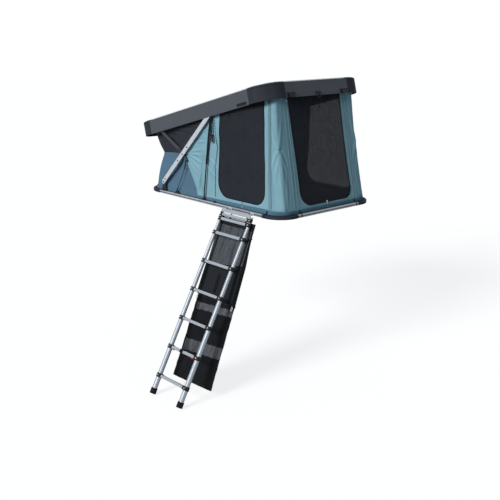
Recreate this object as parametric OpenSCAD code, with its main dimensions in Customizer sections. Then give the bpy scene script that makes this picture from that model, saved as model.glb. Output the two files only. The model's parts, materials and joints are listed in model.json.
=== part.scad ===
// Hard-shell roof top tent that opens as a wedge, with a telescopic ladder and a ladder organiser.
// Millimetres. The origin is the centre of the base, on the plane where it lies on the roof bars.
// +X points to the high rear end, +Y to the right side, +Z up. The ladder hangs on the left side.

/* [Base and lid] */
// Outside length of the base and the lid
base_length = 2100; // [2000:10:2250]
// Outside width of the base and the lid
base_width = 1340; // [1280:10:1460]
// Outside radius of the corner pieces
corner_radius = 200; // [170:5:220]
// Length of a corner piece from the outside edge
corner_leg = 245; // [240:5:270]
// Height of the base rails
rail_height = 30; // [28:1:34]
// Width of the base rails
rail_width = 50; // [46:1:56]
// Side height of the lid
lid_height = 145; // [140:1:165]
// Thickness of the lid sheet
panel_thickness = 3; // [2:0.5:6]
// Height of the raised deck of the lid sheet above its edge
panel_rise = 14; // [10:1:20]
// Gap between base rail and lid rim when shut
rim_gap = 4; // [2:0.5:8]

/* [Open pose] */
// Slope of the open lid
lid_tilt = 15.15; // [13:0.05:17]
// Height of the rear rim of the open lid
open_height = 1100.6; // [1050:1:1150]
// Distance of the open lid's rear edge from the base's rear edge
open_shift = 181.5; // [150:0.5:210]

/* [Arms] */
// Distance of the arm foot pivot from the front edge of the base
foot_setback = 305; // [280:5:330]
// Height of the arm foot pivot
foot_z = 127; // [120:1:130]
// Slope of the open main arm
arm_angle = 44.6; // [42:0.1:47]
// Width of the main arm
arm_width = 46; // [40:1:50]
// Distance of the crossing pin from the arm foot pivot
cross_along = 477; // [440:1:500]
// Slope of the open link arm
link_angle = 27.65; // [25:0.05:30]
// Width of the link arm
link_width = 34; // [28:1:38]
// Height of the shoe axle above the lid rim
shoe_w = 55; // [50:1:60]

/* [Canvas] */
// Distance of the canvas from the outside edge
canvas_inset = 43; // [43:1:50]
// Thickness of the canvas walls
canvas_thickness = 3; // [2:0.5:4]
// Distance of the side window from the arm foot pivot
window_front = 900; // [860:5:940]
// Distance of the side window's top from the rear end of the base
window_rear = 340; // [330:5:380]
// Height of the window sills above the base rail
window_sill = 64; // [50:2:90]
// Radius of the lower window corners
window_radius = 92; // [70:2:100]
// Distance of the rear window from the side walls
rear_window_inset = 272; // [255:2:320]
// Draw-in of the front fold
waist_draw = 64; // [40:2:80]
// Height of the skirt band above the rail
skirt_height = 50; // [30:2:60]
// Thickness of the mattress
mattress_thickness = 52; // [40:2:60]

/* [Ladder] */
// Lean of the ladder from upright
ladder_lean = 28.63; // [24:0.1:32]
// Distance of the ladder plane from the side of the base
ladder_out = 50; // [46:1:60]
// Distance of the first ladder stile from the rear end of the base
stile_setback = 740; // [720:5:770]
// Distance between the ladder stiles
stile_gap = 415.5; // [380:1:430]
// Outside diameter of the top ladder tubes
tube_top = 30; // [28:0.5:32]
// Distance between extended rungs
rung_pitch = 294.9; // [285:1:305]
// Distance between nested rungs
nest_pitch = 45; // [44:0.5:50]
// Front to back depth of a rung
rung_depth = 42; // [36:1:46]

/* [Organiser] */
// Lean of the organiser from upright
organiser_lean = 22.8; // [21:0.1:24]
// Width of the organiser
organiser_width = 490; // [450:5:500]
// Distance of the bag's top edge from the top of the ladder
bag_drop = 80; // [70:2:100]
// Length of the organiser bag
bag_length = 810; // [760:10:860]
// Front to back depth of the organiser bag
bag_depth = 62; // [46:2:64]
// Length of the pocket panel
panel_length = 815; // [780:5:880]
// Turn of the pocket panel as it hangs
panel_turn = 6; // [0:0.5:7]
// Length of a pocket
pocket_length = 290; // [260:5:300]

/* [Roof bars] */
// Distance of the clamps from the centre along the base
clamp_x = 420; // [350:10:480]
// Distance of the mounting channels from the centre
channel_y = 350; // [300:10:400]
// Clear height for the roof bar
bar_height = 38; // [30:1:45]
// Clear width for the roof bar
bar_width = 88; // [70:2:96]

/* [Hidden] */
$fn = 64;
half_l = base_length / 2;
half_w = base_width / 2;
lid_x = half_l - open_shift;
lid_z = open_height;
ledge_w = lid_height - panel_thickness;
wall_top = ledge_w - 3.3;
shut_z = rail_height + rim_gap;
foot_x = foot_setback - half_l;
foot_w = -(foot_x - lid_x) * sin(lid_tilt) + (foot_z - lid_z) * cos(lid_tilt);
arm_length = (shoe_w - foot_w) / sin(arm_angle - lid_tilt);
shoe_x = foot_x + arm_length * cos(arm_angle);
shoe_z = foot_z + arm_length * sin(arm_angle);
shoe_u = (shoe_x - lid_x) * cos(lid_tilt) + (shoe_z - lid_z) * sin(lid_tilt);
arm_shut = asin((shut_z + shoe_w - foot_z) / arm_length);
shoe_u_shut = foot_x + arm_length * cos(arm_shut) - half_l;
cross_x = foot_x + cross_along * cos(arm_angle);
cross_z = foot_z + cross_along * sin(arm_angle);
link_w = 50;
cross_w = -(cross_x - lid_x) * sin(lid_tilt) + (cross_z - lid_z) * cos(lid_tilt);
link_length = (link_w - cross_w) / sin(link_angle + lid_tilt);
link_x = cross_x - link_length * cos(link_angle);
link_z = cross_z + link_length * sin(link_angle);
link_u = (link_x - lid_x) * cos(lid_tilt) + (link_z - lid_z) * sin(lid_tilt);
tail_bend = 26;
tail_length = 79;
cord_along = 226;
strap_along = 667;
strap_anchor = 14;
elbow_x = cross_x + tail_length * cos(link_angle + tail_bend);
elbow_z = cross_z - tail_length * sin(link_angle + tail_bend);

canvas_y = half_w - canvas_inset;
canvas_x = half_l - canvas_inset;
canvas_r = corner_radius - canvas_inset;
rear_r = 86;
rear_u = -36;
rear_top = lid_at(rear_u, wall_top);
rear_slope = atan2(canvas_x - rear_top[0], rear_top[1] - rail_height);
seam_0 = [foot_x + 544, rail_height];
seam_1 = [foot_x + 522, foot_z + 12];
seam_2 = [foot_x + 412, foot_z + 194];
seam_3 = [foot_x + 372, foot_z + 251];
seam_4 = [foot_x + 278, foot_z + 332];
seam_rim = [foot_x + 681, foot_z + 722];
seam_top = lid_at(shoe_u - 34, wall_top);
waist_z = foot_z + 277;

stile_x = half_l - stile_setback;
ladder_y = -half_w - ladder_out;
rung_1 = -40;
rung_3 = rung_1 - nest_pitch - 145.5;
tube_step = 3;
tube_wall = 1.2;
tube_lap = 40;
collar_height = 40;
foot_d = 190;

organiser_y = -half_w + 8;
organiser_x = stile_x - 27;

silver = [0.78, 0.80, 0.82];
graphite = [0.30, 0.31, 0.34];
black = [0.12, 0.12, 0.13];
teal = [0.36, 0.50, 0.55];
slate = [0.26, 0.34, 0.42];
charcoal = [0.17, 0.18, 0.20];
red = [0.75, 0.10, 0.08];

// Places and frames

// Point of the open lid in the side view, u along the lid from its rear rim, w above the rim
function lid_at(u, w) = [lid_x + u * cos(lid_tilt) - w * sin(lid_tilt),
                         lid_z + u * sin(lid_tilt) + w * cos(lid_tilt)];

function arc(cx, cy, r, a0, a1, n) =
  [for (i = [0:n]) let (a = a0 + (a1 - a0) * i / n) [cx + r * cos(a), cy + r * sin(a)]];

function round_rect(lx, ly, r, n) = concat(
  arc(lx / 2 - r, ly / 2 - r, r, 0, 90, n), arc(r - lx / 2, ly / 2 - r, r, 90, 180, n),
  arc(r - lx / 2, r - ly / 2, r, 180, 270, n), arc(lx / 2 - r, r - ly / 2, r, 270, 360, n));

function rung_z(k) = k == 1 ? rung_1 : k == 2 ? rung_1 - nest_pitch : rung_3 - (k - 3) * rung_pitch;
function tube_d(k) = tube_top + (k - 1) * tube_step;

module in_lid() {
  translate([lid_x, 0, lid_z]) rotate([0, -lid_tilt, 0]) children();
}

module on_ladder() {
  translate([0, ladder_y, 0]) rotate([-ladder_lean, 0, 0]) children();
}

module on_organiser() {
  translate([organiser_x, organiser_y, 0]) rotate([-organiser_lean, 0, 0]) children();
}

module both_sides() {
  children();
  mirror([0, 1, 0]) children();
}

module both_ends() {
  children();
  mirror([1, 0, 0]) children();
}

// Profile drawn in Y and Z, run along X
module along_x(length) {
  rotate([90, 0, 90]) linear_extrude(length) children();
}

// Profile drawn in X and Z, run towards -Y from the plane y
module side_plate(y, thickness) {
  translate([0, y, 0]) rotate([90, 0, 0]) linear_extrude(thickness) children();
}

module capsule(length, width) {
  translate([0, -width / 2]) square([length, width]);
  circle(d = width);
  translate([length, 0]) circle(d = width);
}

// Base

module base_profile() {
  difference() {
    square([rail_width, rail_height]);
    translate([8, 3]) square([rail_width - 11, rail_height - 6]);
    translate([-1, 6]) square([3.5, 2]);
    translate([-1, rail_height / 2 - 4]) square([5, 8]);
    translate([-1, rail_height - 8]) square([3.5, 2]);
  }
}

module long_base_rail() {
  length = base_length - 2 * corner_leg;
  color(silver) translate([-length / 2, -half_w, 0]) along_x(length) base_profile();
}

module short_base_rail() {
  length = base_width - 2 * corner_leg;
  color(silver) translate([half_l, -length / 2, 0]) rotate([0, 0, 90])
    along_x(length) base_profile();
}

module base_corner() {
  leg = corner_leg - corner_radius;
  color(black) translate([half_l - corner_radius, half_w - corner_radius, 0]) {
    rotate_extrude(angle = 90) translate([corner_radius - rail_width, 0]) corner_section();
    translate([-leg, corner_radius - rail_width, 0]) along_x(leg) corner_section();
    translate([corner_radius - rail_width, 0, 0]) rotate([90, 0, 0])
      linear_extrude(leg) corner_section();
  }
}

module corner_section() {
  polygon([[0, 0], [rail_width, 0], [rail_width + 2, 3], [rail_width + 2, rail_height - 4],
    [rail_width - 4, rail_height + 2], [rail_width - 12, rail_height + 2],
    [rail_width - 12, rail_height], [0, rail_height]]);
}

module base_floor() {
  color(charcoal) translate([0, 0, 14]) linear_extrude(rail_height - 15)
    polygon(round_rect(base_length - 2 * rail_width, base_width - 2 * rail_width,
      corner_radius - rail_width + 0.3, 16));
}
module base_rail_left() { long_base_rail(); }
module base_rail_right() { mirror([0, 1, 0]) long_base_rail(); }
module base_rail_rear() { short_base_rail(); }
module base_rail_front() { mirror([1, 0, 0]) short_base_rail(); }
module base_corners() {
  both_ends() both_sides() base_corner();
}

module mount_channels() {
  length = base_length - 2 * rail_width - 20;
  color(silver) both_sides() translate([-length / 2, -channel_y, 0]) along_x(length)
    difference() {
      translate([-22, 0]) square([44, 14]);
      translate([-5, -1]) square([10, 6]);
      translate([-10, 4]) square([20, 8]);
    }
}

module at_clamps() {
  for (x = [-clamp_x, clamp_x], y = [-channel_y, channel_y]) translate([x, y, 0]) children();
}

module crossbar_clamps() {
  color(black) at_clamps() translate([0, 0, -bar_height - 8]) difference() {
    translate([-bar_width / 2 - 24, -18, 0]) cube([bar_width + 48, 36, 8]);
    for (s = [-1, 1]) translate([s * (bar_width / 2 + 8), 0, -1]) cylinder(d = 9, h = 10);
  }
}

module clamp_bolts() {
  color(silver) at_clamps() for (s = [-1, 1]) translate([s * (bar_width / 2 + 8), 0, 0]) {
    translate([0, 0, 4.2]) cylinder(d = 16, h = 6);
    translate([0, 0, -bar_height - 26]) cylinder(d = 8, h = bar_height + 31);
    translate([0, 0, -bar_height - 18]) cylinder(d = 22, h = 10);
  }
}

module mattress() {
  color(charcoal) difference() {
    translate([0, 0, rail_height - 1])
      pad(base_length - 2 * rail_width - 60, 2 * canvas_y - 54, mattress_thickness, 120);
    for (x = [-330, 330]) translate([x, -half_w, rail_height - 1 + mattress_thickness + 9])
      rotate([-90, 0, 0]) cylinder(r = 14, h = base_width, $fn = 24);
  }
}

// Soft pad built from rings: drawn-in seam half way up and a crowned top
module pad(lx, ly, t, r) {
  levels = [[6, 0], [0, 0.18], [0, 0.36], [4, 0.5], [0, 0.64], [1, 0.84], [8, 0.95], [24, 1],
    [90, 1.05], [min(lx, ly) / 2 - 25, 1.08]];
  n = 6;
  m = 4 * (n + 1);
  rings = [for (l = levels) [for (p = round_rect(lx - 2 * l[0], ly - 2 * l[0],
    max(r - l[0], 20), n)) [p[0], p[1], t * l[1]]]];
  top = (len(levels) - 1) * m;
  polyhedron(points = [for (ring = rings) each ring], convexity = 4, faces = concat(
    [[for (j = [0:m - 1]) j]], [[for (j = [0:m - 1]) top + m - 1 - j]],
    [for (i = [0:len(levels) - 2], j = [0:m - 1]) let (a = i * m + j, b = i * m + (j + 1) % m)
      each [[a, a + m, b + m], [a, b + m, b]]]));
}

// Arm feet, cord and strap anchors

module arm_feet() {
  color(black) both_sides() {
    difference() {
      union() {
        side_plate(-half_w + 23, 6) polygon([[foot_x - 44, rail_height],
          [foot_x + 44, rail_height], [foot_x + 22, foot_z - 16], [foot_x + 22, foot_z],
          [foot_x - 22, foot_z], [foot_x - 22, foot_z - 16]]);
        side_plate(-half_w + 23, 6) translate([foot_x, foot_z]) circle(r = 20);
        translate([foot_x - 44, -half_w + 7, rail_height]) cube([88, 20, 5]);
      }
      side_plate(-half_w + 40, 60) translate([foot_x, foot_z]) circle(d = 12);
    }
    side_plate(-half_w + 23, 19.2) translate([foot_x, foot_z]) circle(d = 12);
    side_plate(-half_w + 5.4, 1.6) translate([foot_x, foot_z]) circle(r = 10);
  }
}

module base_anchors() {
  color(black) both_sides() {
    x = foot_x + cord_along;
    side_plate(-half_w + 23, 8) difference() {
      polygon([[x - 40, rail_height], [x + 40, rail_height], [x + 12, rail_height + 30],
        [x - 12, rail_height + 30]]);
      translate([x, rail_height + 20]) circle(d = 7);
    }
    translate([foot_x + strap_along - 33, -half_w + 12, rail_height])
      cube([66, 14, strap_anchor]);
    translate([foot_x + strap_along + 159, -half_w + 12, rail_height]) cube([26, 12, 16]);
  }
}

module shock_cords() {
  foot = [foot_x + cord_along, rail_height + 31.2];
  end = [elbow_x - 14, elbow_z - 69];
  color(black) both_sides() {
    rod([elbow_x, elbow_z], end, -half_w + 17, 13);
    rod(end, foot, -half_w + 17, 6);
  }
}

// Round rod between two points of the side view, in the plane y
module rod(a, b, y, d) {
  v = b - a;
  translate([a[0], y, a[1]]) rotate([0, atan2(v[0], v[1]), 0])
    cylinder(d = d, h = norm(v));
}

module closing_straps() {
  top = lid_at(shoe_u - 62, shoe_w - 20.4);
  foot = [foot_x + strap_along, rail_height + strap_anchor + 2];
  knee = foot + 0.726 * (top - foot) + [55, 0];
  low = foot + 0.4195 * (top - foot);
  color(black) both_sides() {
    webbing(top, low, 1.8);
    webbing(low, foot, 4);
    webbing(top, knee, 1.8, 2.2);
    translate([knee[0] - 17, -half_w + 16, knee[1] - 20]) cube([34, 5.8, 40]);
  }
}

// Flat strap between two points of the side view, t thick, its inner face lift further out
module webbing(a, b, t, lift = 0) {
  v = b - a;
  translate([a[0], -half_w + 22 - lift, a[1]]) rotate([0, atan2(v[0], v[1]), 0])
    translate([-12.5, 0, 0]) cube([25, t, norm(v)]);
}

// Canvas

// Thin closed wall between an outer and an inner grid of points
module shell(outer, inner) {
  m = len(outer);
  n = len(outer[0]);
  s = m * n;
  quads = concat(
    [for (i = [0:m - 2], j = [0:n - 2]) let (a = i * n + j) [a, a + n, a + n + 1, a + 1]],
    [for (i = [0:m - 2], j = [0:n - 2]) let (a = s + i * n + j) [a, a + 1, a + n + 1, a + n]],
    [for (j = [0:n - 2]) [j, j + 1, s + j + 1, s + j]],
    [for (j = [0:n - 2]) let (a = (m - 1) * n + j) [a + 1, a, s + a, s + a + 1]],
    [for (i = [0:m - 2]) let (a = i * n) [a + n, a, s + a, s + a + n]],
    [for (i = [0:m - 2]) let (a = i * n + n - 1) [a, a + n, s + a + n, s + a]]);
  polyhedron(points = concat([for (row = outer) each row], [for (row = inner) each row]),
    faces = [for (q = quads) each [[q[0], q[1], q[2]], [q[0], q[2], q[3]]]], convexity = 6);
}

window_lean = 87;
window_x0 = foot_x + window_front;
window_x1 = half_l - window_rear;

function window_side() = concat(
  [[window_x0, rim_z(window_x0) + 8], [window_x1, rim_z(window_x1) + 8]],
  arc(window_x1 + window_lean - window_radius, rail_height + window_sill + window_radius,
    window_radius, 0, -90, 6),
  arc(window_x0 - 8 + window_radius, rail_height + window_sill + window_radius,
    window_radius, 270, 180, 6));

// Height of the lid rim line above the base at x
function rim_z(x) = lid_z + (x - lid_x) * tan(lid_tilt);

module side_wall() {
  rear = lid_at(rear_u - rear_r, wall_top);
  color(teal) side_plate(-canvas_y + canvas_thickness, canvas_thickness) difference() {
    polygon([seam_0, seam_1, seam_2, seam_3, seam_4, seam_rim, seam_top, rear,
      [canvas_x - canvas_r, rail_height]]);
    polygon(window_side());
  }
}
module side_wall_left() { side_wall(); }
module side_wall_right() { mirror([0, 1, 0]) side_wall(); }

function rear_row(depth, top) = top
  ? [for (p = concat(
      arc(rear_u - rear_r, rear_r - canvas_y, rear_r - depth, -90, 0, 8),
      arc(rear_u - rear_r, canvas_y - rear_r, rear_r - depth, 0, 90, 8)))
      let (q = lid_at(p[0], wall_top)) [q[0], p[1], q[1]]]
  : [for (p = concat(
      arc(canvas_x - canvas_r, canvas_r - canvas_y, canvas_r - depth, -90, 0, 8),
      arc(canvas_x - canvas_r, canvas_y - canvas_r, canvas_r - depth, 0, 90, 8)))
      [p[0], p[1], rail_height]];

function mix(a, b, t) = [for (i = [0:len(a) - 1]) a[i] * (1 - t) + b[i] * t];

module rear_wall() {
  steps = [0, 0.25, 0.5, 0.75, 1];
  rows = [for (d = [0, canvas_thickness]) [for (t = steps)
    mix(rear_row(d, false), rear_row(d, true), t)]];
  color(teal) difference() {
    shell(rows[0], rows[1]);
    in_rear_plane() translate([-30, 0, 0]) along_x(60) rear_window_shape();
  }
}

module in_rear_plane() {
  translate([canvas_x, 0, rail_height]) rotate([0, -rear_slope, 0]) children();
}

module rear_window_shape() {
  h = (lid_z - rail_height) / cos(rear_slope) + 5;
  w = canvas_y - rear_window_inset;
  r = window_radius;
  z = window_sill + r + 9;
  polygon(concat([[-w - 12, h], [w + 12, h]], arc(w - r, z, r, 0, -90, 6),
    arc(r - w, z, r, 270, 180, 6)));
}

module window_meshes() {
  color(charcoal) {
    both_sides() side_plate(-canvas_y + 2, 1) polygon(window_side());
    in_rear_plane() translate([-2, 0, 0]) along_x(1) rear_window_shape();
  }
}

// Row of the front canvas: side end, two corner arcs, side end; x is the front, y the half width
function front_row(end, x, y, r, z_side, z_front) = concat(
  [[end[0], canvas_y, end[1]]],
  [for (p = arc(x + r, y - r, r, 90, 180, 6)) [p[0], p[1], z_side + (z_front - z_side)
    * (x + r - p[0]) / r]],
  [for (p = arc(x + r, r - y, r, 180, 270, 6)) [p[0], p[1], z_side + (z_front - z_side)
    * (x + r - p[0]) / r]],
  [[end[0], -canvas_y, end[1]]]);

function thin_row(row) = [for (j = [0:len(row) - 1]) let (
  a = row[max(j - 1, 0)], b = row[min(j + 1, len(row) - 1)],
  t = j == 0 || j == len(row) - 1 ? [1, 0] : [b[0] - a[0], b[1] - a[1]] / norm([b[0] - a[0], b[1] - a[1]]),
  k = j == 0 ? [0, -1] : j == len(row) - 1 ? [0, 1] : [-t[1], t[0]])
  [row[j][0] + canvas_thickness * k[0], row[j][1] + canvas_thickness * k[1], row[j][2]]];

function lower_row(end, t) = front_row(end, -canvas_x + waist_draw * pow(t, 1.3),
  canvas_y - waist_draw * 0.9 * pow(t, 1.3), canvas_r,
  rail_height + (waist_z + 22 - rail_height) * t, rail_height + (waist_z - rail_height) * t);

module front_lower_panel() {
  rows = [lower_row(seam_0, 0), lower_row(seam_1, 0.29), lower_row(seam_2, 0.68),
    lower_row(seam_3, 0.85), lower_row(seam_4, 1)];
  color(slate) shell(rows, [for (r = rows) thin_row(r)]);
}

module front_upper_panel() {
  u_front = -base_length + 128;
  top = lid_at(u_front, wall_top);
  side_top = lid_at(u_front + canvas_r, wall_top);
  ends = [seam_4, seam_4 + 0.55 * (seam_rim - seam_4), seam_rim, seam_top];
  low = lower_row(seam_4, 1);
  high = front_row(seam_top, top[0], canvas_y, canvas_r, side_top[1], top[1]);
  shape = [for (t = [0, 0.4, 0.7, 1]) mix(low, high, t)];
  n = len(low) - 1;
  rows = [for (i = [0:3]) [for (j = [0:n]) j == 0 ? [ends[i][0], canvas_y, ends[i][1]]
    : j == n ? [ends[i][0], -canvas_y, ends[i][1]] : shape[i][j]]];
  lift = 0.6;
  color(charcoal) translate([0, 0, lift]) shell(rows, [for (r = rows) thin_row(r)]);
}

module base_skirt() {
  outer = canvas_inset - 6;
  inner = canvas_inset - 1;
  color(slate) translate([0, 0, rail_height]) linear_extrude(skirt_height) difference() {
    polygon(round_rect(base_length - 2 * outer, base_width - 2 * outer, corner_radius - outer, 12));
    polygon(round_rect(base_length - 2 * inner, base_width - 2 * inner, corner_radius - inner, 12));
  }
}

// Arms

module main_arm() {
  color(silver) translate([foot_x, -half_w + 16, foot_z]) rotate([0, -arm_angle, 0])
    rotate([90, 0, 0]) difference() {
      union() {
        linear_extrude(10) capsule(arm_length, arm_width);
        for (x = [47, cross_along - 113, cross_along + 112]) translate([x, 0, 9])
          cylinder(r = 6, h = 2.2);
        translate([cross_along, 0, -2]) cylinder(r = 6, h = 13.6);
      }
      translate([0, 0, -1]) linear_extrude(8) difference() {
        capsule(arm_length, arm_width - 6);
        for (x = [0, 47, cross_along - 113, cross_along, cross_along + 112, arm_length])
          translate([x, 0]) circle(r = 15);
      }
      for (x = [0, arm_length]) translate([x, 0, -1]) cylinder(d = 12.8, h = 14);
      for (y = [-1, 1]) translate([20, y * arm_width / 4 - 1, 9.4])
        cube([arm_length - 40, 2, 2]);
    }
}
module main_arms() { both_sides() main_arm(); }

module slide_shoes() {
  color(black) in_lid() both_sides() {
    translate([shoe_u - 32, -half_w + 19.5, shoe_w - 12]) cube([64, 11.5, 24]);
    translate([shoe_u, -half_w + 19.5, shoe_w]) rotate([90, 0, 0]) cylinder(d = 12, h = 14.5);
    translate([shoe_u, -half_w + 5.4, shoe_w]) rotate([90, 0, 0]) cylinder(r = 9, h = 1.4);
  }
}

module link_arm() {
  color(graphite) translate([link_x, -half_w + 31, link_z]) rotate([0, link_angle, 0])
    rotate([90, 0, 0]) linear_extrude(6) difference() {
      union() {
        capsule(link_length, link_width);
        translate([link_length, 0]) rotate(-tail_bend) capsule(tail_length, link_width - 6);
      }
      circle(d = 10.8);
      translate([link_length - 92, 0]) capsule(98, 11);
    }
}
module link_arms() { both_sides() link_arm(); }

// Lid

module lid_profile() {
  difference() {
    square([3, lid_height]);
    translate([-1, 10]) square([1.8, 2]);
    translate([-1, lid_height - 16]) square([1.8, 2]);
  }
  translate([0, ledge_w - 3]) square([25, 3]);
}

module long_lid_rail() {
  length = base_length - 2 * corner_leg;
  color(graphite) in_lid() translate([-half_l - length / 2, -half_w, 0])
    along_x(length) lid_profile();
}
module lid_rail_left() { long_lid_rail(); }
module lid_rail_right() { mirror([0, 1, 0]) long_lid_rail(); }

module short_lid_rail() {
  length = base_width - 2 * corner_leg;
  color(graphite) translate([0, -length / 2, 0]) rotate([0, 0, 90]) along_x(length) lid_profile();
}
module lid_rail_rear() { in_lid() short_lid_rail(); }
module lid_rail_front() {
  in_lid() translate([-base_length, 0, 0]) mirror([1, 0, 0]) short_lid_rail();
}

module lid_corner() {
  leg = corner_leg - corner_radius;
  color(black) translate([half_l - corner_radius, half_w - corner_radius, 0]) {
    rotate_extrude(angle = 90) translate([corner_radius, 0]) lid_corner_section();
    translate([-leg, corner_radius, 0]) along_x(leg) lid_corner_section();
    translate([corner_radius, 0, 0]) rotate([90, 0, 0]) linear_extrude(leg) lid_corner_section();
  }
}

module lid_corner_section() {
  polygon([[-3, 0], [2, 0], [2, lid_height - 3.5], [-8, lid_height + 6.5], [-30, lid_height + 6.5],
    [-30, lid_height], [-3, lid_height]]);
}

module lid_corners() {
  in_lid() translate([-half_l, 0, 0]) both_ends() both_sides() lid_corner();
}

// Outline of the lid sheet, drawn in from the outside edge
module lid_outline(inset) {
  polygon(round_rect(base_length - 2 * inset, base_width - 2 * inset,
    corner_radius - inset + 0.3, 16));
}

deck_inset = 32;

module lid_panel() {
  color(silver) in_lid() translate([-half_l, 0, ledge_w]) {
    linear_extrude(panel_thickness) difference() {
      lid_outline(3);
      lid_outline(deck_inset + 8);
    }
    linear_extrude(panel_rise + panel_thickness) difference() {
      lid_outline(deck_inset);
      lid_outline(deck_inset + panel_thickness);
    }
    translate([0, 0, panel_rise]) linear_extrude(panel_thickness) lid_outline(deck_inset);
  }
}

module lid_tracks() {
  from = shoe_u - 100;
  length = shoe_u_shut - shoe_u + 160;
  color(graphite) in_lid() both_sides() translate([from, -half_w, shoe_w]) along_x(length)
    difference() {
      union() {
        translate([17, -15]) square([18, 30]);
        translate([32, -15]) square([3, ledge_w - shoe_w + 15]);
      }
      translate([19, -12.5]) square([13, 25]);
      translate([16, -7]) square([4, 14]);
    }
}

module link_brackets() {
  color(graphite) in_lid() both_sides() {
    side_plate(-half_w + 39, 5) {
      translate([link_u - 20, link_w]) square([40, ledge_w - link_w]);
      translate([link_u, link_w]) circle(r = 20);
    }
    translate([link_u, -half_w + 34, link_w]) rotate([90, 0, 0]) cylinder(d = 10, h = 12);
  }
}

latch_inset = 310;
latch_y = half_w - latch_inset;
latch_pin_w = 37;

module latch_plates() {
  color(black) in_lid() both_sides() difference() {
    union() {
      translate([0, -latch_y - 47, 0]) cube([4, 94, 46]);
      for (y = [-44, 32]) translate([4, -latch_y + y, latch_pin_w - 7]) cube([11, 12, 14]);
    }
    translate([9.5, -latch_y - 60, latch_pin_w]) rotate([-90, 0, 0]) cylinder(d = 5.8, h = 120);
  }
}

module latch_lever(y) {
  color(black) in_lid() {
    translate([6, y - 31, 3]) cube([6, 62, latch_pin_w - 3]);
    translate([9.5, y - 31, latch_pin_w]) rotate([-90, 0, 0]) cylinder(d = 9, h = 62);
    translate([9.5, y - 43, latch_pin_w]) rotate([-90, 0, 0]) cylinder(d = 5, h = 86);
    translate([6, y - 22, 0]) cube([14, 44, 5]);
  }
}
module latch_lever_left() { latch_lever(-latch_y); }
module latch_lever_right() { latch_lever(latch_y); }

module pull_loop() {
  color(black) in_lid() {
    translate([0, -32, 22]) cube([12, 64, 16]);
    for (y = [-20, 20]) translate([8, y, -2]) cylinder(r = 4, h = 25);
    translate([8, 0, -2]) rotate([90, 0, 90]) rotate([0, 0, 180]) rotate_extrude(angle = 180)
      translate([20, 0]) circle(r = 4);
  }
}

module side_grips() {
  color(black) in_lid() both_sides() difference() {
    translate([-412, -half_w - 9, 14]) cube([128, 9, 22]);
    translate([-400, -half_w - 10, 20]) cube([104, 6, 10]);
  }
}

// Ladder

pin_at = [0, 10, 18];
tab_back = 32;
hook_low = rung_1 + collar_height / 2 + 0.3;
hook_x = [stile_x + 50, stile_x + stile_gap - 50];

module ladder_lugs() {
  base_y = -half_w;
  pin_y = ladder_y + pin_at[1] * cos(ladder_lean) + pin_at[2] * sin(ladder_lean);
  pin_z = -pin_at[1] * sin(ladder_lean) + pin_at[2] * cos(ladder_lean);
  color(black) for (x = hook_x) {
    translate([x - 26, base_y - 5, 2]) cube([52, 5, rail_height - 4]);
    for (s = [-1, 1]) translate([x + s * 12 - 4, 0, 0]) {
      translate([0, pin_y, pin_z - 8]) cube([8, base_y - 3 - pin_y, 16]);
      translate([0, pin_y, pin_z]) rotate([0, 90, 0]) cylinder(r = 10, h = 8);
    }
    translate([x - 14, pin_y, pin_z]) rotate([0, 90, 0]) cylinder(d = 9, h = 28);
  }
}

module ladder_hook() {
  color(silver) on_ladder() {
    translate([stile_x - 2, -23.5, hook_low]) cube([stile_gap + 4, 4, 14 - hook_low]);
    for (x = [stile_x + 85, stile_x + stile_gap - 107]) translate([x, -20, -2])
      cube([22, tab_back + 20, 6]);
    for (x = hook_x) difference() {
      union() {
        translate([x - 7, -20, 8]) cube([14, 30, 20]);
        translate([x - 7, pin_at[1], pin_at[2]]) rotate([0, 90, 0]) cylinder(r = 10, h = 14);
      }
      translate([x - 10, pin_at[1], pin_at[2]]) rotate([0, 90, 0]) cylinder(d = 9.8, h = 20);
    }
  }
}

module ladder_section(k) {
  z = rung_z(k);
  d = tube_d(k);
  up = k == 1 ? 38 : 7.9;
  down = k == 8 ? foot_d - 12 : rung_pitch + tube_lap;
  color(silver) on_ladder() {
    for (x = [stile_x, stile_x + stile_gap]) translate([x, 0, z - down]) difference() {
      cylinder(d = d, h = down + up);
      translate([0, 0, -1]) cylinder(d = d - 2 * tube_wall, h = down + up + 2);
    }
    rung(k);
  }
}

module ladder_collars(k) {
  color(black) on_ladder() translate([0, 0, rung_z(k)]) {
    translate([stile_x, 0, 0]) collar(k);
    translate([stile_x + stile_gap, 0, 0]) mirror([1, 0, 0]) collar(k);
  }
}

function rung_inset(k) = tube_d(k) / 2 + 16;

module collar(k) {
  d = tube_d(k);
  difference() {
    union() {
      translate([0, 0, -collar_height / 2]) cylinder(d = d + 10, h = collar_height);
      translate([0, -rung_depth / 2, -collar_height / 2 + 3])
        cube([rung_inset(k), rung_depth, collar_height - 6]);
    }
    translate([0, 0, -collar_height]) cylinder(d = d + 0.2, h = collar_height + 8);
    translate([0, 0, -collar_height])
      cylinder(d = k == 1 ? d + 0.2 : d - tube_step + 0.8, h = 3 * collar_height);
  }
}

module rung(k) {
  from = stile_x + rung_inset(k) + 0.1;
  length = stile_gap - 2 * rung_inset(k) - 0.2;
  h = rung_depth / 2;
  translate([from, 0, rung_z(k)]) along_x(length) difference() {
    polygon([[-h + 3, -14], [h - 3, -14], [h, -10], [h, 13], [-h, 13], [-h, -10]]);
    translate([-h + 3, -11]) square([rung_depth - 6, 20]);
    for (y = [-h + 5:6:h - 5]) translate([y, 11.5]) square([2.5, 3]);
  }
}

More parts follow.
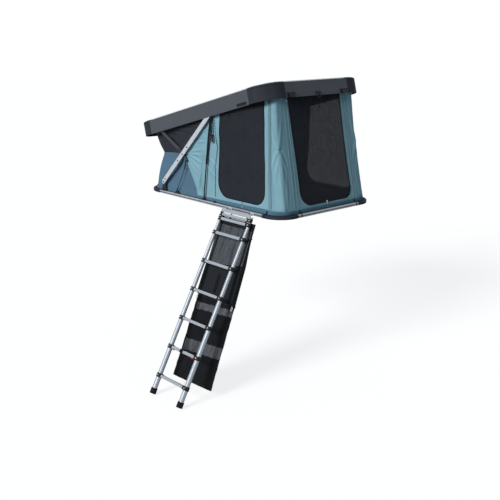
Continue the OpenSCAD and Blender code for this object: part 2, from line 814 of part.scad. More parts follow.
module ladder_section_1() { ladder_section(1); }
module ladder_section_2() { ladder_section(2); }
module ladder_section_3() { ladder_section(3); }
module ladder_section_4() { ladder_section(4); }
module ladder_section_5() { ladder_section(5); }
module ladder_section_6() { ladder_section(6); }
module ladder_section_7() { ladder_section(7); }
module ladder_section_8() { ladder_section(8); }
module ladder_collars_1() { ladder_collars(1); }
module ladder_collars_2() { ladder_collars(2); }
module ladder_collars_3() { ladder_collars(3); }
module ladder_collars_4() { ladder_collars(4); }
module ladder_collars_5() { ladder_collars(5); }
module ladder_collars_6() { ladder_collars(6); }
module ladder_collars_7() { ladder_collars(7); }
module ladder_collars_8() { ladder_collars(8); }

module ladder_feet() {
  z = rung_z(8) - foot_d;
  d = tube_d(8);
  color(black) on_ladder() for (x = [stile_x, stile_x + stile_gap]) translate([x, 0, z])
    difference() {
      translate([0, 0, 4]) cylinder(d = d + 11, h = 56);
      translate([0, 0, 12]) cylinder(d = d + 0.2, h = 70);
      translate([0, 0, 8]) cylinder(d = d - tube_step + 1, h = 70);
    }
}

module release_button(x) {
  color(red) on_ladder() translate([x - 13, -rung_depth / 2 + 4, rung_z(7) - 23.3])
    cube([26, 18, 9]);
}
button_in = rung_inset(7) + 22;
module release_button_left() { release_button(stile_x + button_in); }
module release_button_right() { release_button(stile_x + stile_gap - button_in); }

// Organiser

module organiser_bag() {
  w = organiser_width;
  color(black) {
    on_organiser() translate([w / 2, -4, -bag_drop - bag_length / 2]) rotate([90, 0, 0])
      translate([0, 0, -42]) pad(w, bag_length, bag_depth, 40);
    for (x = [stile_x + 85, stile_x + stile_gap - 107]) strap_between(x);
  }
}

// Hanging strap from the bag's top edge to the tab of the ladder's top plate
module strap_between(x) {
  hull() {
    on_ladder() translate([x, tab_back + 0.2, -4]) cube([22, 3, 12]);
    on_organiser() translate([x - organiser_x, 18, -bag_drop - 14]) cube([22, 3, 18]);
  }
}

module organiser_panel() {
  w = organiser_width;
  low = -bag_drop - bag_length - panel_length;
  pocket_width = w / 2 - 11;
  color(charcoal) on_organiser() translate([w / 2, 11, 0]) rotate([0, 0, panel_turn])
    translate([-w / 2, -11, 0]) {
    translate([0, 8, low]) cube([w, 6, panel_length]);
    for (row = [0, 1], x = [8, w / 2 + 3])
      translate([x + pocket_width / 2, 8, low + 15 + pocket_length / 2 + row * (pocket_length + 60)])
        rotate([90, 0, 0]) pad(pocket_width, pocket_length, 16, 24);
  }
}

base_floor();
base_rail_left();
base_rail_right();
base_rail_front();
base_rail_rear();
base_corners();
mount_channels();
crossbar_clamps();
clamp_bolts();
mattress();
arm_feet();
base_anchors();
ladder_lugs();
side_wall_left();
side_wall_right();
rear_wall();
front_lower_panel();
front_upper_panel();
base_skirt();
window_meshes();
shock_cords();
closing_straps();
main_arms();
slide_shoes();
lid_panel();
lid_rail_left();
lid_rail_right();
lid_rail_front();
lid_rail_rear();
lid_corners();
lid_tracks();
link_brackets();
latch_plates();
pull_loop();
side_grips();
latch_lever_left();
latch_lever_right();
link_arms();
ladder_hook();
ladder_section_1();
ladder_section_2();
ladder_section_3();
ladder_section_4();
ladder_section_5();
ladder_section_6();
ladder_section_7();
ladder_section_8();
ladder_collars_1();
ladder_collars_2();
ladder_collars_3();
ladder_collars_4();
ladder_collars_5();
ladder_collars_6();
ladder_collars_7();
ladder_collars_8();
ladder_feet();
organiser_bag();
organiser_panel();
release_button_left();
release_button_right();
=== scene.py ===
import json
import math

import bmesh
import bpy
import numpy as np
from mathutils import Matrix, Vector
from mathutils.geometry import delaunay_2d_cdt

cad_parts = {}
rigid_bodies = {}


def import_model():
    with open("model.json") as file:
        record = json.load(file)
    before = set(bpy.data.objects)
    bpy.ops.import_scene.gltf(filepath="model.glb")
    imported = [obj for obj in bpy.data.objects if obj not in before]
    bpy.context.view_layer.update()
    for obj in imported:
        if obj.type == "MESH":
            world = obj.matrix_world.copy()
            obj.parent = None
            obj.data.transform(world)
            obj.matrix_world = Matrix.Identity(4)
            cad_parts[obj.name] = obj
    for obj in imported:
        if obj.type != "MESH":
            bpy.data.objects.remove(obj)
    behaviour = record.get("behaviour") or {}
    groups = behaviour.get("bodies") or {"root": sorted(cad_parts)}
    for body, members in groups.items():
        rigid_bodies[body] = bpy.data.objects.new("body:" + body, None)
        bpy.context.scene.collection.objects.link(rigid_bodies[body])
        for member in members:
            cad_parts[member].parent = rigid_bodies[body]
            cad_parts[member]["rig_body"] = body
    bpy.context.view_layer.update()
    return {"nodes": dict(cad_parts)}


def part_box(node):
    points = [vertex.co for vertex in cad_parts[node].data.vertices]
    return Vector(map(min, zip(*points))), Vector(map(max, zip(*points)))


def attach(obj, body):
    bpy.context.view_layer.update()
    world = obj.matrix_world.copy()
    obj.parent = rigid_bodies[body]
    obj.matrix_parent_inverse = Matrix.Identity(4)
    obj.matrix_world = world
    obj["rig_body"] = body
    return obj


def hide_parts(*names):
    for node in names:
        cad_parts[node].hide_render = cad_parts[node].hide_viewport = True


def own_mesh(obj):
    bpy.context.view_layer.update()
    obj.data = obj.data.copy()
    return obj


# Roof top tent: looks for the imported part. Metres, +X to the high rear end, the ladder on the -Y side.

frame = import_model()
rng = np.random.default_rng(7)

# Sizes repeated from the part's source, in metres

HALF_L, HALF_W = 1.05, 0.67
TILT = math.radians(15.15)
LID_X, LID_Z = 0.8685, 1.1006
RAIL_TOP = 0.03
CANVAS_X, CANVAS_Y, CANVAS_R = 1.007, 0.627, 0.157
WALL_TOP = 0.1387
REAR_U, REAR_TOP_Y, REAR_TOP_R = -0.036, 0.597, 0.15
SHOE_U = -0.79689
WAIST_Z, WAIST_SIDE, WAIST_DRAW = 0.404, 0.426, 0.064
FRONT_LIMIT = -1.038
SEAM = [(-0.201, 0.03), (-0.223, 0.139), (-0.333, 0.321), (-0.373, 0.378), (-0.467, 0.459)]
SEAM_T = [0.0, 0.29, 0.68, 0.85, 1.0]
SEAM_RIM = (-0.064, 0.849)
ELBOW, SLEEVE_END, CORD_FOOT = (-0.3586, 0.3983), (-0.3726, 0.3293), (-0.519, 0.0612)
CORD_Y = 0.653
STRAP_LINE = [(0.044, 0.9095), (0.034, 0.821), (0.012, 0.696), (-0.008, 0.565), (-0.028, 0.423),
              (-0.047, 0.289), (-0.078, 0.046)]
STRAP_KNEE, STRAP_STEP_Z, STRAP_Y = (0.060, 0.673), 0.41, 0.647
FOOT_X, FOOT_Z, ARM_ANGLE = -0.745, 0.127, math.radians(44.6)
LADDER_Y, LADDER_LEAN = -0.72, math.radians(28.63)
STILE_X, STILE_GAP = 0.31, 0.4155
RUNG_Z = [-0.04, -0.085] + [-0.2305 - 0.2949 * k for k in range(6)]
RUNG_DEPTH = 0.042
TUBE_D = [0.030 + 0.003 * k for k in range(8)]
BAG_X, BAG_Y, BAG_LEAN = 0.283, -0.662, math.radians(22.8)
BAG_W, BAG_TOP, BAG_LOW, PANEL_LOW = 0.49, 0.08, 0.89, 1.705
BAG_FRONT, PANEL_TURN = -0.029, 6.0
SIDES = (("left", -1), ("right", 1))


def lid_at(u, w):
    """Point of the open lid in the side view: u along it from the rear rim, w above the rim."""
    return (LID_X + u * math.cos(TILT) - w * math.sin(TILT),
            LID_Z + u * math.sin(TILT) + w * math.cos(TILT))


SEAM_TOP = lid_at(SHOE_U - 0.034, WALL_TOP)
REAR_TOP = lid_at(REAR_U, WALL_TOP)
IN_LID = Matrix.Translation((LID_X, 0, LID_Z)) @ Matrix.Rotation(-TILT, 4, "Y")
ON_LADDER = Matrix.Translation((0, LADDER_Y, 0)) @ Matrix.Rotation(-LADDER_LEAN, 4, "X")
ON_BAG = Matrix.Translation((BAG_X, BAG_Y, 0)) @ Matrix.Rotation(-BAG_LEAN, 4, "X")

# Camera

camera = bpy.data.objects.new("camera", bpy.data.cameras.new("camera"))
camera.data.lens = 59.475
camera.data.sensor_width = 36
camera.location = (6.327, -5.797, 1.7665)
camera.rotation_euler = (math.radians(74.58), 0, math.radians(47.95))
bpy.context.scene.collection.objects.link(camera)
bpy.context.scene.camera = camera

# Materials

WAVE_UNIT = 0.31416
MID_LOW, MID_HIGH = 0.3, 0.7


def srgb(r, g, b):
    """Colour given as 0-255 screen values."""
    parts = [c / 255 for c in (r, g, b)]
    return tuple(c / 12.92 if c <= 0.04045 else ((c + 0.055) / 1.055) ** 2.4 for c in parts) + (1.0,)


def scaled(colour, k):
    return tuple(min(c * k, 1.0) for c in colour[:3]) + (1.0,)


def add_node(tree, kind, links=(), **props):
    """New node: props set its inputs or its own settings, links are pairs of an input and a source."""
    n = tree.nodes.new(kind)
    for key, value in props.items():
        if key in n.inputs:
            n.inputs[key].default_value = value
        else:
            setattr(n, key, value)
    for socket, source in links:
        tree.links.new(source, n.inputs[socket])
    return n


class Shader:
    """A Principled material with small helpers for its texture nodes."""

    def __init__(self, name):
        self.material = bpy.data.materials.new(name)
        self.material.use_nodes = True
        self.tree = self.material.node_tree
        self.bsdf = self.tree.nodes["Principled BSDF"]
        self.coords = self.node("ShaderNodeTexCoord")

    def node(self, kind, links=(), **props):
        return add_node(self.tree, kind, links, **props)

    def set(self, **values):
        for key, value in values.items():
            self.bsdf.inputs[key.replace("_", " ")].default_value = value

    def to(self, socket, source):
        self.tree.links.new(source, self.bsdf.inputs[socket])

    def mapped(self, space, scale=(1, 1, 1)):
        n = self.node("ShaderNodeMapping", [("Vector", self.coords.outputs[space])], Scale=scale)
        return n.outputs["Vector"]

    def noise(self, vector, scale, detail=3.0, rough=0.55):
        n = self.node("ShaderNodeTexNoise", [("Vector", vector)], Scale=scale, Detail=detail,
                      Roughness=rough)
        return n.outputs["Fac"]

    def wave(self, vector, period, axis, profile="SIN"):
        n = self.node("ShaderNodeTexWave", [("Vector", vector)], Scale=WAVE_UNIT / period,
                      bands_direction=axis, wave_profile=profile)
        return n.outputs["Fac"]

    def math(self, operation, a, b):
        n = self.node("ShaderNodeMath", operation=operation)
        for socket, value in zip(n.inputs, (a, b)):
            if isinstance(value, (int, float)):
                socket.default_value = value
            else:
                self.tree.links.new(value, socket)
        return n.outputs[0]

    def blend(self, *parts):
        """Sum of values, each times its share."""
        total = 0.0
        for value, share in parts:
            total = self.math("ADD", self.math("MULTIPLY", value, share), total)
        return total

    def span(self, value, to_low, to_high, low=MID_LOW, high=MID_HIGH):
        """Carries the range from low to high over to another one."""
        ends = {"From Min": low, "From Max": high, "To Min": to_low, "To Max": to_high}
        return self.node("ShaderNodeMapRange", [("Value", value)], **ends).outputs[0]

    def colours(self, value, *stops):
        """Base colour from pairs of a value and its colour."""
        n = self.node("ShaderNodeValToRGB", [("Fac", value)])
        elements = n.color_ramp.elements
        while len(elements) < len(stops):
            elements.new(0.5)
        for element, (place, colour) in zip(elements, stops):
            element.position = place
            element.color = colour
        self.to("Base Color", n.outputs["Color"])

    def tones(self, value, colour, *stops):
        """Base colour from lighter and darker tones of one colour."""
        self.colours(value, *[(place, scaled(colour, k)) for place, k in stops])

    def bump(self, height, strength, distance):
        n = self.node("ShaderNodeBump", [("Height", height)], Strength=strength, Distance=distance)
        normal = self.bsdf.inputs["Normal"]
        if normal.is_linked:
            self.tree.links.new(normal.links[0].from_socket, n.inputs["Normal"])
        self.to("Normal", n.outputs["Normal"])


def cloth(name, colour, thread=0.0011, rough=0.82, mottle=0.09):
    """Woven canvas: two crossing sets of threads, faint mottling and a soft sheen."""
    s = Shader(name)
    flat = s.mapped("UV")
    warp = s.wave(flat, thread, "X")
    weave = s.math("MAXIMUM", s.math("MULTIPLY", warp, 0.92), s.wave(flat, thread, "Y"))
    fibre = s.noise(flat, scale=900, detail=2)
    tone = s.blend((s.noise(flat, scale=7, detail=4), 0.72), (weave, 0.16), (fibre, 0.12))
    s.tones(tone, colour, (0.2, 1 - mottle), (0.5, 1), (0.8, 1 + mottle))
    s.to("Roughness", s.span(fibre, rough - 0.06, rough + 0.06))
    s.set(Sheen_Weight=0.03, Sheen_Roughness=0.45, Specular_IOR_Level=0.08)
    s.bump(weave, strength=0.35, distance=0.0004)
    s.bump(s.noise(flat, scale=38), strength=0.10, distance=0.002)
    return s.material


def net(name, colour, cell=0.0016, hole=0.58, cloud_scale=(1, 1, 1), contrast=0.14, spread=0.18):
    """Fine insect mesh: dark threads with part-clear holes between them."""
    s = Shader(name)
    flat = s.mapped("UV")
    weave = s.math("MAXIMUM", s.wave(flat, cell, "X"), s.wave(flat, cell, "Y"))
    s.to("Alpha", s.span(weave, hole, 1.0, low=0.45, high=0.8))
    # The cloud tone is faint random mottling; with a stretched cloud_scale and a high contrast, as on the bag
    # net, it paints streaks of fold light and shade.
    cloud = s.noise(s.mapped("UV", cloud_scale), scale=9, detail=4)
    s.tones(s.blend((cloud, 0.7), (weave, 0.3)), colour, (0.5 - spread, 1 - contrast),
            (0.5 + spread, 1 + contrast))
    s.set(Roughness=0.8, Specular_IOR_Level=0.04, Sheen_Weight=0.02)
    s.bump(weave, strength=0.4, distance=0.0004)
    return s.material


def metal(name, colour, rough=0.42, grain=(3, 260, 260), metallic=0.35, wear=0.10, spec=0.4):
    """Anodised aluminium: fine drawn lines, cloudy roughness and a few handling marks."""
    s = Shader(name)
    lines = s.noise(s.mapped("Object", grain), scale=1.0, detail=4, rough=0.6)
    tone = s.blend((lines, 0.6), (s.noise(s.mapped("Object"), scale=9, detail=5), 0.4))
    s.tones(tone, colour, (0.3, 1 - wear), (0.5, 1), (0.72, 1 + wear * 0.7))
    s.to("Roughness", s.span(tone, rough + 0.07, rough - 0.05))
    s.set(Metallic=metallic, Specular_IOR_Level=spec)
    s.bump(lines, strength=0.10, distance=0.0003)
    return s.material


def plastic(name, colour, rough=0.5, grain=700, relief=0.18, spec=0.2):
    """Moulded plastic: fine spark-eroded grain and slight rub marks."""
    s = Shader(name)
    place = s.mapped("Object")
    pits = s.noise(place, grain)
    cloud = s.noise(place, scale=12, detail=4)
    s.tones(cloud, colour, (0.3, 0.86), (0.55, 1), (0.8, 1.2))
    s.to("Roughness", s.span(s.blend((cloud, 0.6), (pits, 0.4)), rough - 0.08, rough + 0.08))
    s.set(Specular_IOR_Level=spec)
    s.bump(pits, relief, distance=0.0004)
    return s.material


def webbing(name, colour, rib=0.0022):
    """Polyester webbing: ribs across and a herringbone along, with a noisy tone."""
    s = Shader(name)
    flat = s.mapped("UV")
    weave = s.blend((s.wave(flat, rib, "X"), 0.6), (s.wave(flat, rib * 2.4, "DIAGONAL", "TRI"), 0.4))
    s.tones(s.blend((weave, 0.5), (s.noise(flat, scale=60), 0.5)), colour, (0.25, 0.7), (0.75, 1.35))
    s.set(Roughness=0.75, Specular_IOR_Level=0.1, Sheen_Weight=0.02)
    s.bump(weave, strength=0.5, distance=0.0006)
    return s.material


def board(name):
    """Floor board: pressed core with a fine long grain under a satin film."""
    s = Shader(name)
    grain = s.noise(s.mapped("Object", (4, 90, 60)), scale=1.0, detail=5)
    s.colours(grain, (0.3, srgb(34, 35, 38)), (0.7, srgb(58, 59, 62)))
    s.to("Roughness", s.span(grain, 0.6, 0.78))
    s.bump(grain, strength=0.2, distance=0.0008)
    return s.material


def braid(name, strand=0.0032):
    """Braided shock cord: two crossing spiral sets of strands."""
    s = Shader(name)
    left, right = (s.wave(s.mapped("UV", (turn, 1, 1)), strand, "DIAGONAL") for turn in (1, -1))
    strands = s.math("MULTIPLY", left, right)
    s.colours(strands, (0.1, srgb(14, 14, 15)), (0.8, srgb(40, 40, 43)))
    s.set(Roughness=0.7, Specular_IOR_Level=0.3)
    s.bump(strands, strength=0.6, distance=0.0007)
    return s.material


ZIP_THREAD = 0.0007
SILVER = srgb(196, 200, 206)
GRAPHITE = dict(colour=srgb(79, 82, 89), rough=0.45, metallic=0.1, spec=0.12)

m_teal = cloth("teal_canvas", srgb(130, 169, 182))
m_slate = cloth("slate_canvas", srgb(84, 112, 132))
m_skirt = cloth("skirt_canvas", srgb(78, 110, 128))
m_charcoal = cloth("charcoal_canvas", srgb(47, 49, 57), mottle=0.16)
# Inner face of the canvas: near black, darker than the real lining; its darkness is painted shade inside the
# tent.
m_inside_painted_shade = cloth("canvas_inside_painted_shade", srgb(30, 32, 36), mottle=0.12)
m_window = net("window_net", srgb(46, 48, 54))
m_zip = cloth("zip_tape", srgb(104, 142, 154), ZIP_THREAD, 0.7)
m_zip_pale = cloth("zip_coil_pale", srgb(134, 156, 166), ZIP_THREAD, 0.6)
m_zip_grey = cloth("zip_coil_grey", srgb(112, 126, 132), ZIP_THREAD, 0.7)
m_dark_tape = cloth("dark_tape", srgb(22, 23, 26), 0.0008, 0.7)
m_webbing = webbing("black_webbing", srgb(13, 13, 15))
m_silver = metal("silver_aluminium", SILVER)
m_silver_y = metal("silver_aluminium_cross", SILVER, grain=(260, 3, 260))
m_tube = metal("silver_tube", srgb(158, 165, 173), rough=0.4, grain=(240, 90, 4), metallic=0.3)
m_panel = metal("lid_sheet", srgb(206, 208, 212), grain=(2, 160, 160), wear=0.05)
m_graphite = metal("graphite_aluminium", grain=(3, 300, 300), **GRAPHITE)
m_graphite_y = metal("graphite_aluminium_cross", grain=(300, 3, 300), **GRAPHITE)
m_link = metal("graphite_arm", srgb(58, 60, 66), grain=(40, 200, 200), metallic=0.15, spec=0.25)
m_steel = metal("steel", srgb(176, 178, 182), rough=0.32, grain=(160, 160, 160), metallic=0.7)
m_rivet = metal("dark_rivet", srgb(46, 48, 54), rough=0.4, grain=(160, 160, 160), metallic=0.3)
m_black = plastic("black_plastic", srgb(18, 19, 21), rough=0.52)
m_corner = plastic("corner_plastic", srgb(52, 54, 61), rough=0.62, spec=0.05)
# Ladder feet material; the same dark material also paints shade in the rail slots, a shadow gap under the
# skirt and groove shade on the lid corners.
m_rubber_and_painted_shade = plastic("rubber", srgb(20, 20, 22), rough=0.78, grain=420, spec=0.15)
m_red = plastic("red_plastic", srgb(186, 34, 30), rough=0.42, spec=0.4)
m_white = plastic("white_plastic", srgb(226, 226, 224), rough=0.45, spec=0.4)
m_foam = cloth("foam_cover", srgb(46, 47, 50), thread=0.002, mottle=0.14)
m_sleeve = plastic("cord_sleeve", srgb(24, 24, 26), rough=0.62, grain=300, relief=0.4)
# Bag net: stretched, strong light and dark streaks in its colour, painted fold light and shade over the net's
# own mottled tone.
m_bag_net_painted_streaks = net("bag_net", srgb(66, 69, 73), cell=0.0022, hole=0.7, cloud_scale=(2.8, 0.35, 1),
                contrast=0.85, spread=0.08)
m_bag = cloth("bag_canvas", srgb(34, 36, 40), thread=0.0013, mottle=0.14)
m_pocket = cloth("pocket_canvas", srgb(22, 23, 26), thread=0.0013, mottle=0.14)
m_board = board("floor_board")
m_cord = braid("braided_cord")

# Mesh helpers

CLOTH_SMOOTH, PAD_SMOOTH, HARD_SMOOTH, RIGID_SMOOTH = 75, 60, 40, 38
CLOTH_THICK = 0.0016


def unit(v):
    """Rows of an array, each made one long."""
    return v / np.linalg.norm(v, axis=1)[:, None]


def run_along(p):
    """Length run from the first point of a line to each of its points."""
    return np.concatenate([[0], np.cumsum(np.linalg.norm(np.diff(p, axis=0), axis=1))])


def grid_faces(rows, cols, wrap=False, flip=False, closed=False):
    """Quads between the points of a grid; wrap joins each row's ends, closed the last row to the first."""
    faces = []
    for r in range(rows if closed else rows - 1):
        a, b = r * cols, (r + 1) % rows * cols
        for c in range(cols if wrap else cols - 1):
            d = (c + 1) % cols
            faces.append((a + c, b + c, b + d, a + d) if flip else (a + c, a + d, b + d, b + c))
    return faces


def end_faces(rows, cols):
    """Caps on the first and the last ring of a wrapped grid."""
    return [tuple(reversed(range(cols))), tuple((rows - 1) * cols + k for k in range(cols))]


def link(name, mesh):
    obj = bpy.data.objects.new(name, mesh)
    bpy.context.scene.collection.objects.link(obj)
    return obj


def thicken(obj, thick, offset=-1, inner_slot=0):
    solid = obj.modifiers.new("thickness", "SOLIDIFY")
    solid.thickness = thick
    solid.offset = offset
    solid.material_offset = inner_slot


class Build:
    """Collects several shapes into one mesh object."""

    def __init__(self):
        self.verts, self.faces, self.uvs, self.mats = [], [], [], []

    def add(self, verts, faces, uv=None, mat=0):
        """Adds a shape; where it has no flat coordinates, a slanted view of it serves."""
        start = len(self.verts)
        verts = [tuple(float(c) for c in v) for v in verts]
        if uv is None:
            uv = [(x + 0.31 * y, z + 0.17 * y) for x, y, z in verts]
        self.verts += verts
        self.uvs += [tuple(float(c) for c in p) for p in uv]
        self.faces += [tuple(start + i for i in f) for f in faces]
        self.mats += [mat] * len(faces)
        return self

    def tube(self, points, radius, sides=8, mat=0):
        return self.add(*tube_mesh(points, radius, sides), mat=mat)

    def ribbon(self, points, normals, width, thick, crown=0.0, closed=False, mat=0):
        """Strip along a line; one normal may serve for all of its points."""
        if np.ndim(normals) == 1:
            normals = [normals] * len(points)
        return self.add(*ribbon_mesh(points, normals, width, thick, crown, closed), mat=mat)

    def box(self, size, radius, matrix, segments=2, mat=0):
        return self.add(*rounded_box(size, radius, matrix, segments), mat=mat)

    def piece(self, name, materials, body, slot, smooth_angle=HARD_SMOOTH):
        mesh = bpy.data.meshes.new(name)
        mesh.from_pydata(self.verts, [], self.faces)
        for m in materials:
            mesh.materials.append(m)
        mesh.polygons.foreach_set("material_index", self.mats)
        layer = mesh.uv_layers.new(name="flat")
        index = np.zeros(len(mesh.loops), np.int32)
        mesh.loops.foreach_get("vertex_index", index)
        layer.data.foreach_set("uv", np.array(self.uvs, np.float32)[index].ravel())
        mesh.shade_smooth()
        mesh.set_sharp_from_angle(angle=math.radians(smooth_angle))
        obj = link(name, mesh)
        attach(obj, body)
        return obj


def tube_mesh(points, radius, sides):
    """Round tube along a line of points; radius may be one value or one per point."""
    p = np.array(points, float)
    radii = np.broadcast_to(np.array(radius, float), len(p))
    along = unit(np.gradient(p, axis=0))
    run = run_along(p)
    side = np.cross(along[0], (0, 0, 1.0))
    if np.linalg.norm(side) < 1e-3:
        side = np.cross(along[0], (1.0, 0, 0))
    verts, uv = [], []
    for i in range(len(p)):
        side = side - along[i] * np.dot(side, along[i])
        side /= np.linalg.norm(side)
        up = np.cross(along[i], side)
        for k in range(sides):
            a = 2 * math.pi * k / sides
            verts.append(p[i] + radii[i] * (math.cos(a) * side + math.sin(a) * up))
            uv.append((run[i], a * radii[i]))
    return verts, grid_faces(len(p), sides, wrap=True) + end_faces(len(p), sides), uv


def ribbon_mesh(points, normals, width, thick, crown, closed):
    """Flat strip along a line of points, with its face towards the normals and slightly domed."""
    p, face = np.array(points, float), np.array(normals, float)
    along = np.roll(p, -1, 0) - np.roll(p, 1, 0) if closed else np.gradient(p, axis=0)
    across = unit(np.cross(unit(along), face))
    edge = [(-0.5, 0), (-0.5, thick * 0.7), (-0.42, thick)]
    section = edge + [(0, thick + crown)] + [(-w, h) for w, h in reversed(edge)]
    run = run_along(p)
    verts = [p[i] + across[i] * (w * width) + face[i] * h for i in range(len(p)) for w, h in section]
    uv = [(r, w * width) for r in run for w, h in section]
    faces = grid_faces(len(p), len(section), wrap=True, flip=True, closed=closed)
    if not closed:
        faces += [f[::-1] for f in end_faces(len(p), len(section))]
    return verts, faces, uv


def rounded_box(size, radius, matrix, segments):
    """Box with rounded edges, centred on its matrix."""
    bm = bmesh.new()
    bmesh.ops.create_cube(bm, size=1.0, matrix=Matrix.Diagonal((*size, 1.0)))
    bmesh.ops.bevel(bm, geom=list(bm.edges), offset=radius, segments=segments, profile=0.5,
                    affect="EDGES", clamp_overlap=True)
    bm.verts.index_update()
    verts = [matrix @ v.co for v in bm.verts]
    faces = [[v.index for v in f.verts] for f in bm.faces]
    bm.free()
    return verts, faces


def domed_head(radius, height, matrix, socket=0.0, sides=18):
    """Rivet or bolt head standing on the matrix's XY plane, with an optional socket."""
    rings = [(1.0, 0.0), (1.0, 0.35), (0.92, 0.7), (0.72, 0.92)]
    rings += [(socket * 1.1, 1.0), (socket, 0.45)] if socket else [(0.4, 1.0)]
    turns = [2 * math.pi * k / sides for k in range(sides)]
    verts = [matrix @ Vector((radius * r * math.cos(a), radius * r * math.sin(a), height * h))
             for r, h in rings for a in turns]
    return verts, grid_faces(len(rings), sides, wrap=True) + end_faces(len(rings), sides)


def dress(node, material, width, segments):
    """Copy of a rigid CAD node with its edges rounded, standing for the node."""
    source = frame["nodes"][node]
    bm = bmesh.new()
    bm.from_mesh(source.data)
    bmesh.ops.remove_doubles(bm, verts=bm.verts, dist=2e-6)
    bmesh.ops.dissolve_limit(bm, angle_limit=math.radians(0.6), verts=bm.verts, edges=bm.edges)
    mesh = bpy.data.meshes.new(node + "_finish")
    bm.to_mesh(mesh)
    bm.free()
    mesh.materials.append(material)
    mesh.polygons.foreach_set("material_index", [0] * len(mesh.polygons))
    mesh.shade_smooth()
    mesh.set_sharp_from_angle(angle=math.radians(RIGID_SMOOTH))
    obj = link(node + "_finish", mesh)
    bevel = obj.modifiers.new("edge", "BEVEL")
    bevel.width = width
    bevel.segments = segments
    bevel.limit_method = "ANGLE"
    bevel.angle_limit = math.radians(RIGID_SMOOTH)
    bevel.use_clamp_overlap = True
    bevel.harden_normals = True
    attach(obj, source["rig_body"])
    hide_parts(node)


# Surfaces of the canvas: each turns flat coordinates into points and outward normals


def smooth_step(x):
    x = np.clip(x, 0, 1)
    return x * x * (3 - 2 * x)


def segment_distance(p, a, b):
    a, b = np.array(a, float), np.array(b, float)
    d = b - a
    t = np.clip(((p - a) @ d) / (d @ d), 0, 1)
    return np.linalg.norm(p - a - t[:, None] * d, axis=1)


def line_distance(p, line):
    return np.min([segment_distance(p, line[i], line[i + 1]) for i in range(len(line) - 1)], axis=0)


def inside(p, polygon):
    poly = np.array(polygon, float)
    x, y = p[:, 0], p[:, 1]
    result = np.zeros(len(p), bool)
    for a, b in zip(poly, np.roll(poly, -1, 0)):
        crosses = (a[1] > y) != (b[1] > y)
        if abs(b[1] - a[1]) > 1e-12:
            result ^= crosses & (x < (b[0] - a[0]) * (y - a[1]) / (b[1] - a[1]) + a[0])
    return result


def within(p, loops):
    """Points inside the first loop and outside the others."""
    result = inside(p, loops[0])
    for loop in loops[1:]:
        result &= ~inside(p, loop)
    return result


FOLD_POWER, FOLD_TROUGHS = 1.3, ((0.55, 1.5), (0.2, -1.7))


def fold_height(p, folds):
    """Sum of crisp folds with a trough beside them; lead moves a fold's peak along it."""
    total = np.zeros(len(p))
    for start, end, height, width, lead in folds:
        a, b = np.array(start, float), np.array(end, float)
        d = b - a
        length = np.linalg.norm(d)
        d = d / length
        t = ((p - a) @ d) / length
        s = ((p - a) @ np.array((-d[1], d[0]))) / width
        inner = np.clip(t, 0, 1) ** lead
        along = np.where((t > 0) & (t < 1), np.sin(math.pi * inner), 0)
        profile = np.exp(-np.abs(s) ** FOLD_POWER)
        for share, at in FOLD_TROUGHS:
            profile = profile - share * np.exp(-(s - at) ** 2)
        total += height * along * profile
    return total


def ridge_height(p, ridges):
    """Sum of straight-sided ridges. A ridge is (line, height, width)."""
    total = np.zeros(len(p))
    for line, height, width in ridges:
        total += height * np.clip(1 - line_distance(p, line) / width, 0, None)
    return total


def ripple(p, waves):
    total = np.zeros(len(p))
    for kx, ky, phase, height in waves:
        total += height * np.sin(kx * p[:, 0] + ky * p[:, 1] + phase)
    return total


def ripple_waves(count, height, low, high):
    waves = []
    for _ in range(count):
        k = 2 * math.pi / rng.uniform(low, high)
        a = rng.uniform(0, math.pi)
        waves.append((k * math.cos(a), k * math.sin(a), rng.uniform(0, 6.28), height * rng.uniform(0.5, 1)))
    return waves


class Surface:
    """Base shape plus folds. point(p) gives the smooth shape, at(p, lift) the folded one."""

    folds, ridges, waves, limits, soft_edges = (), (), (), None, ()
    turn = 1.0

    def point(self, p):
        raise NotImplementedError

    def normal(self, p, e=1e-4):
        dx = self.point(p + (e, 0)) - self.point(p - (e, 0))
        dy = self.point(p + (0, e)) - self.point(p - (0, e))
        n = np.cross(dx, dy)
        n /= np.maximum(np.linalg.norm(n, axis=1), 1e-12)[:, None]
        return n * self.turn

    def offset(self, p):
        soft = np.ones(len(p))
        for line, reach in self.soft_edges:
            soft = soft * smooth_step(line_distance(p, line) / reach)
        d = (fold_height(p, self.folds) + ripple(p, self.waves)) * soft
        if self.limits:
            low, high = self.limits
            d = np.where(d > 0, high * np.tanh(d / high), -low * np.tanh(-d / low))
        return d + ridge_height(p, self.ridges) * soft

    def at(self, p, lift=0.0):
        p = np.atleast_2d(np.array(p, float))
        return self.point(p) + self.normal(p) * (self.offset(p) + lift)[:, None]


# Rear wall and its corners: flat coordinates run to REAR_FLAT across the middle, then REAR_ARC round a corner

REAR_H, REAR_FLAT, REAR_ARC = 1.2, 0.5, 0.2
WAIST_RIGHT, DRAW_FROM, PAST_END = 0.022, 0.35, 1.02
FACET_SHARE = 0.95
RIDGE_AT, RIDGE_ANGLE = [0.0, 0.5, 0.68, 1.0], np.radians([29.3, 30.6, 27.9, 24.3])
ZIP_AT, ZIP_ANGLE = [0.065, 0.52, 0.89], np.radians([79, 58, 43])


def arc_at(angle, t):
    """Cosine and sine round a rear corner, nearly flat from the rear to its ridge, its zip and the side."""
    ridge = np.interp(t, RIDGE_AT, RIDGE_ANGLE)
    split = np.interp(t, ZIP_AT, ZIP_ANGLE)
    low = np.where(angle < ridge, 0.0, np.where(angle < split, ridge, split))
    high = np.where(angle < ridge, ridge, np.where(angle < split, split, math.pi / 2))
    w = np.clip((angle - low) / (high - low), 0, 1)
    return [f(angle) * (1 - FACET_SHARE) + (f(low) + (f(high) - f(low)) * w) * FACET_SHARE
            for f in (np.cos, np.sin)]


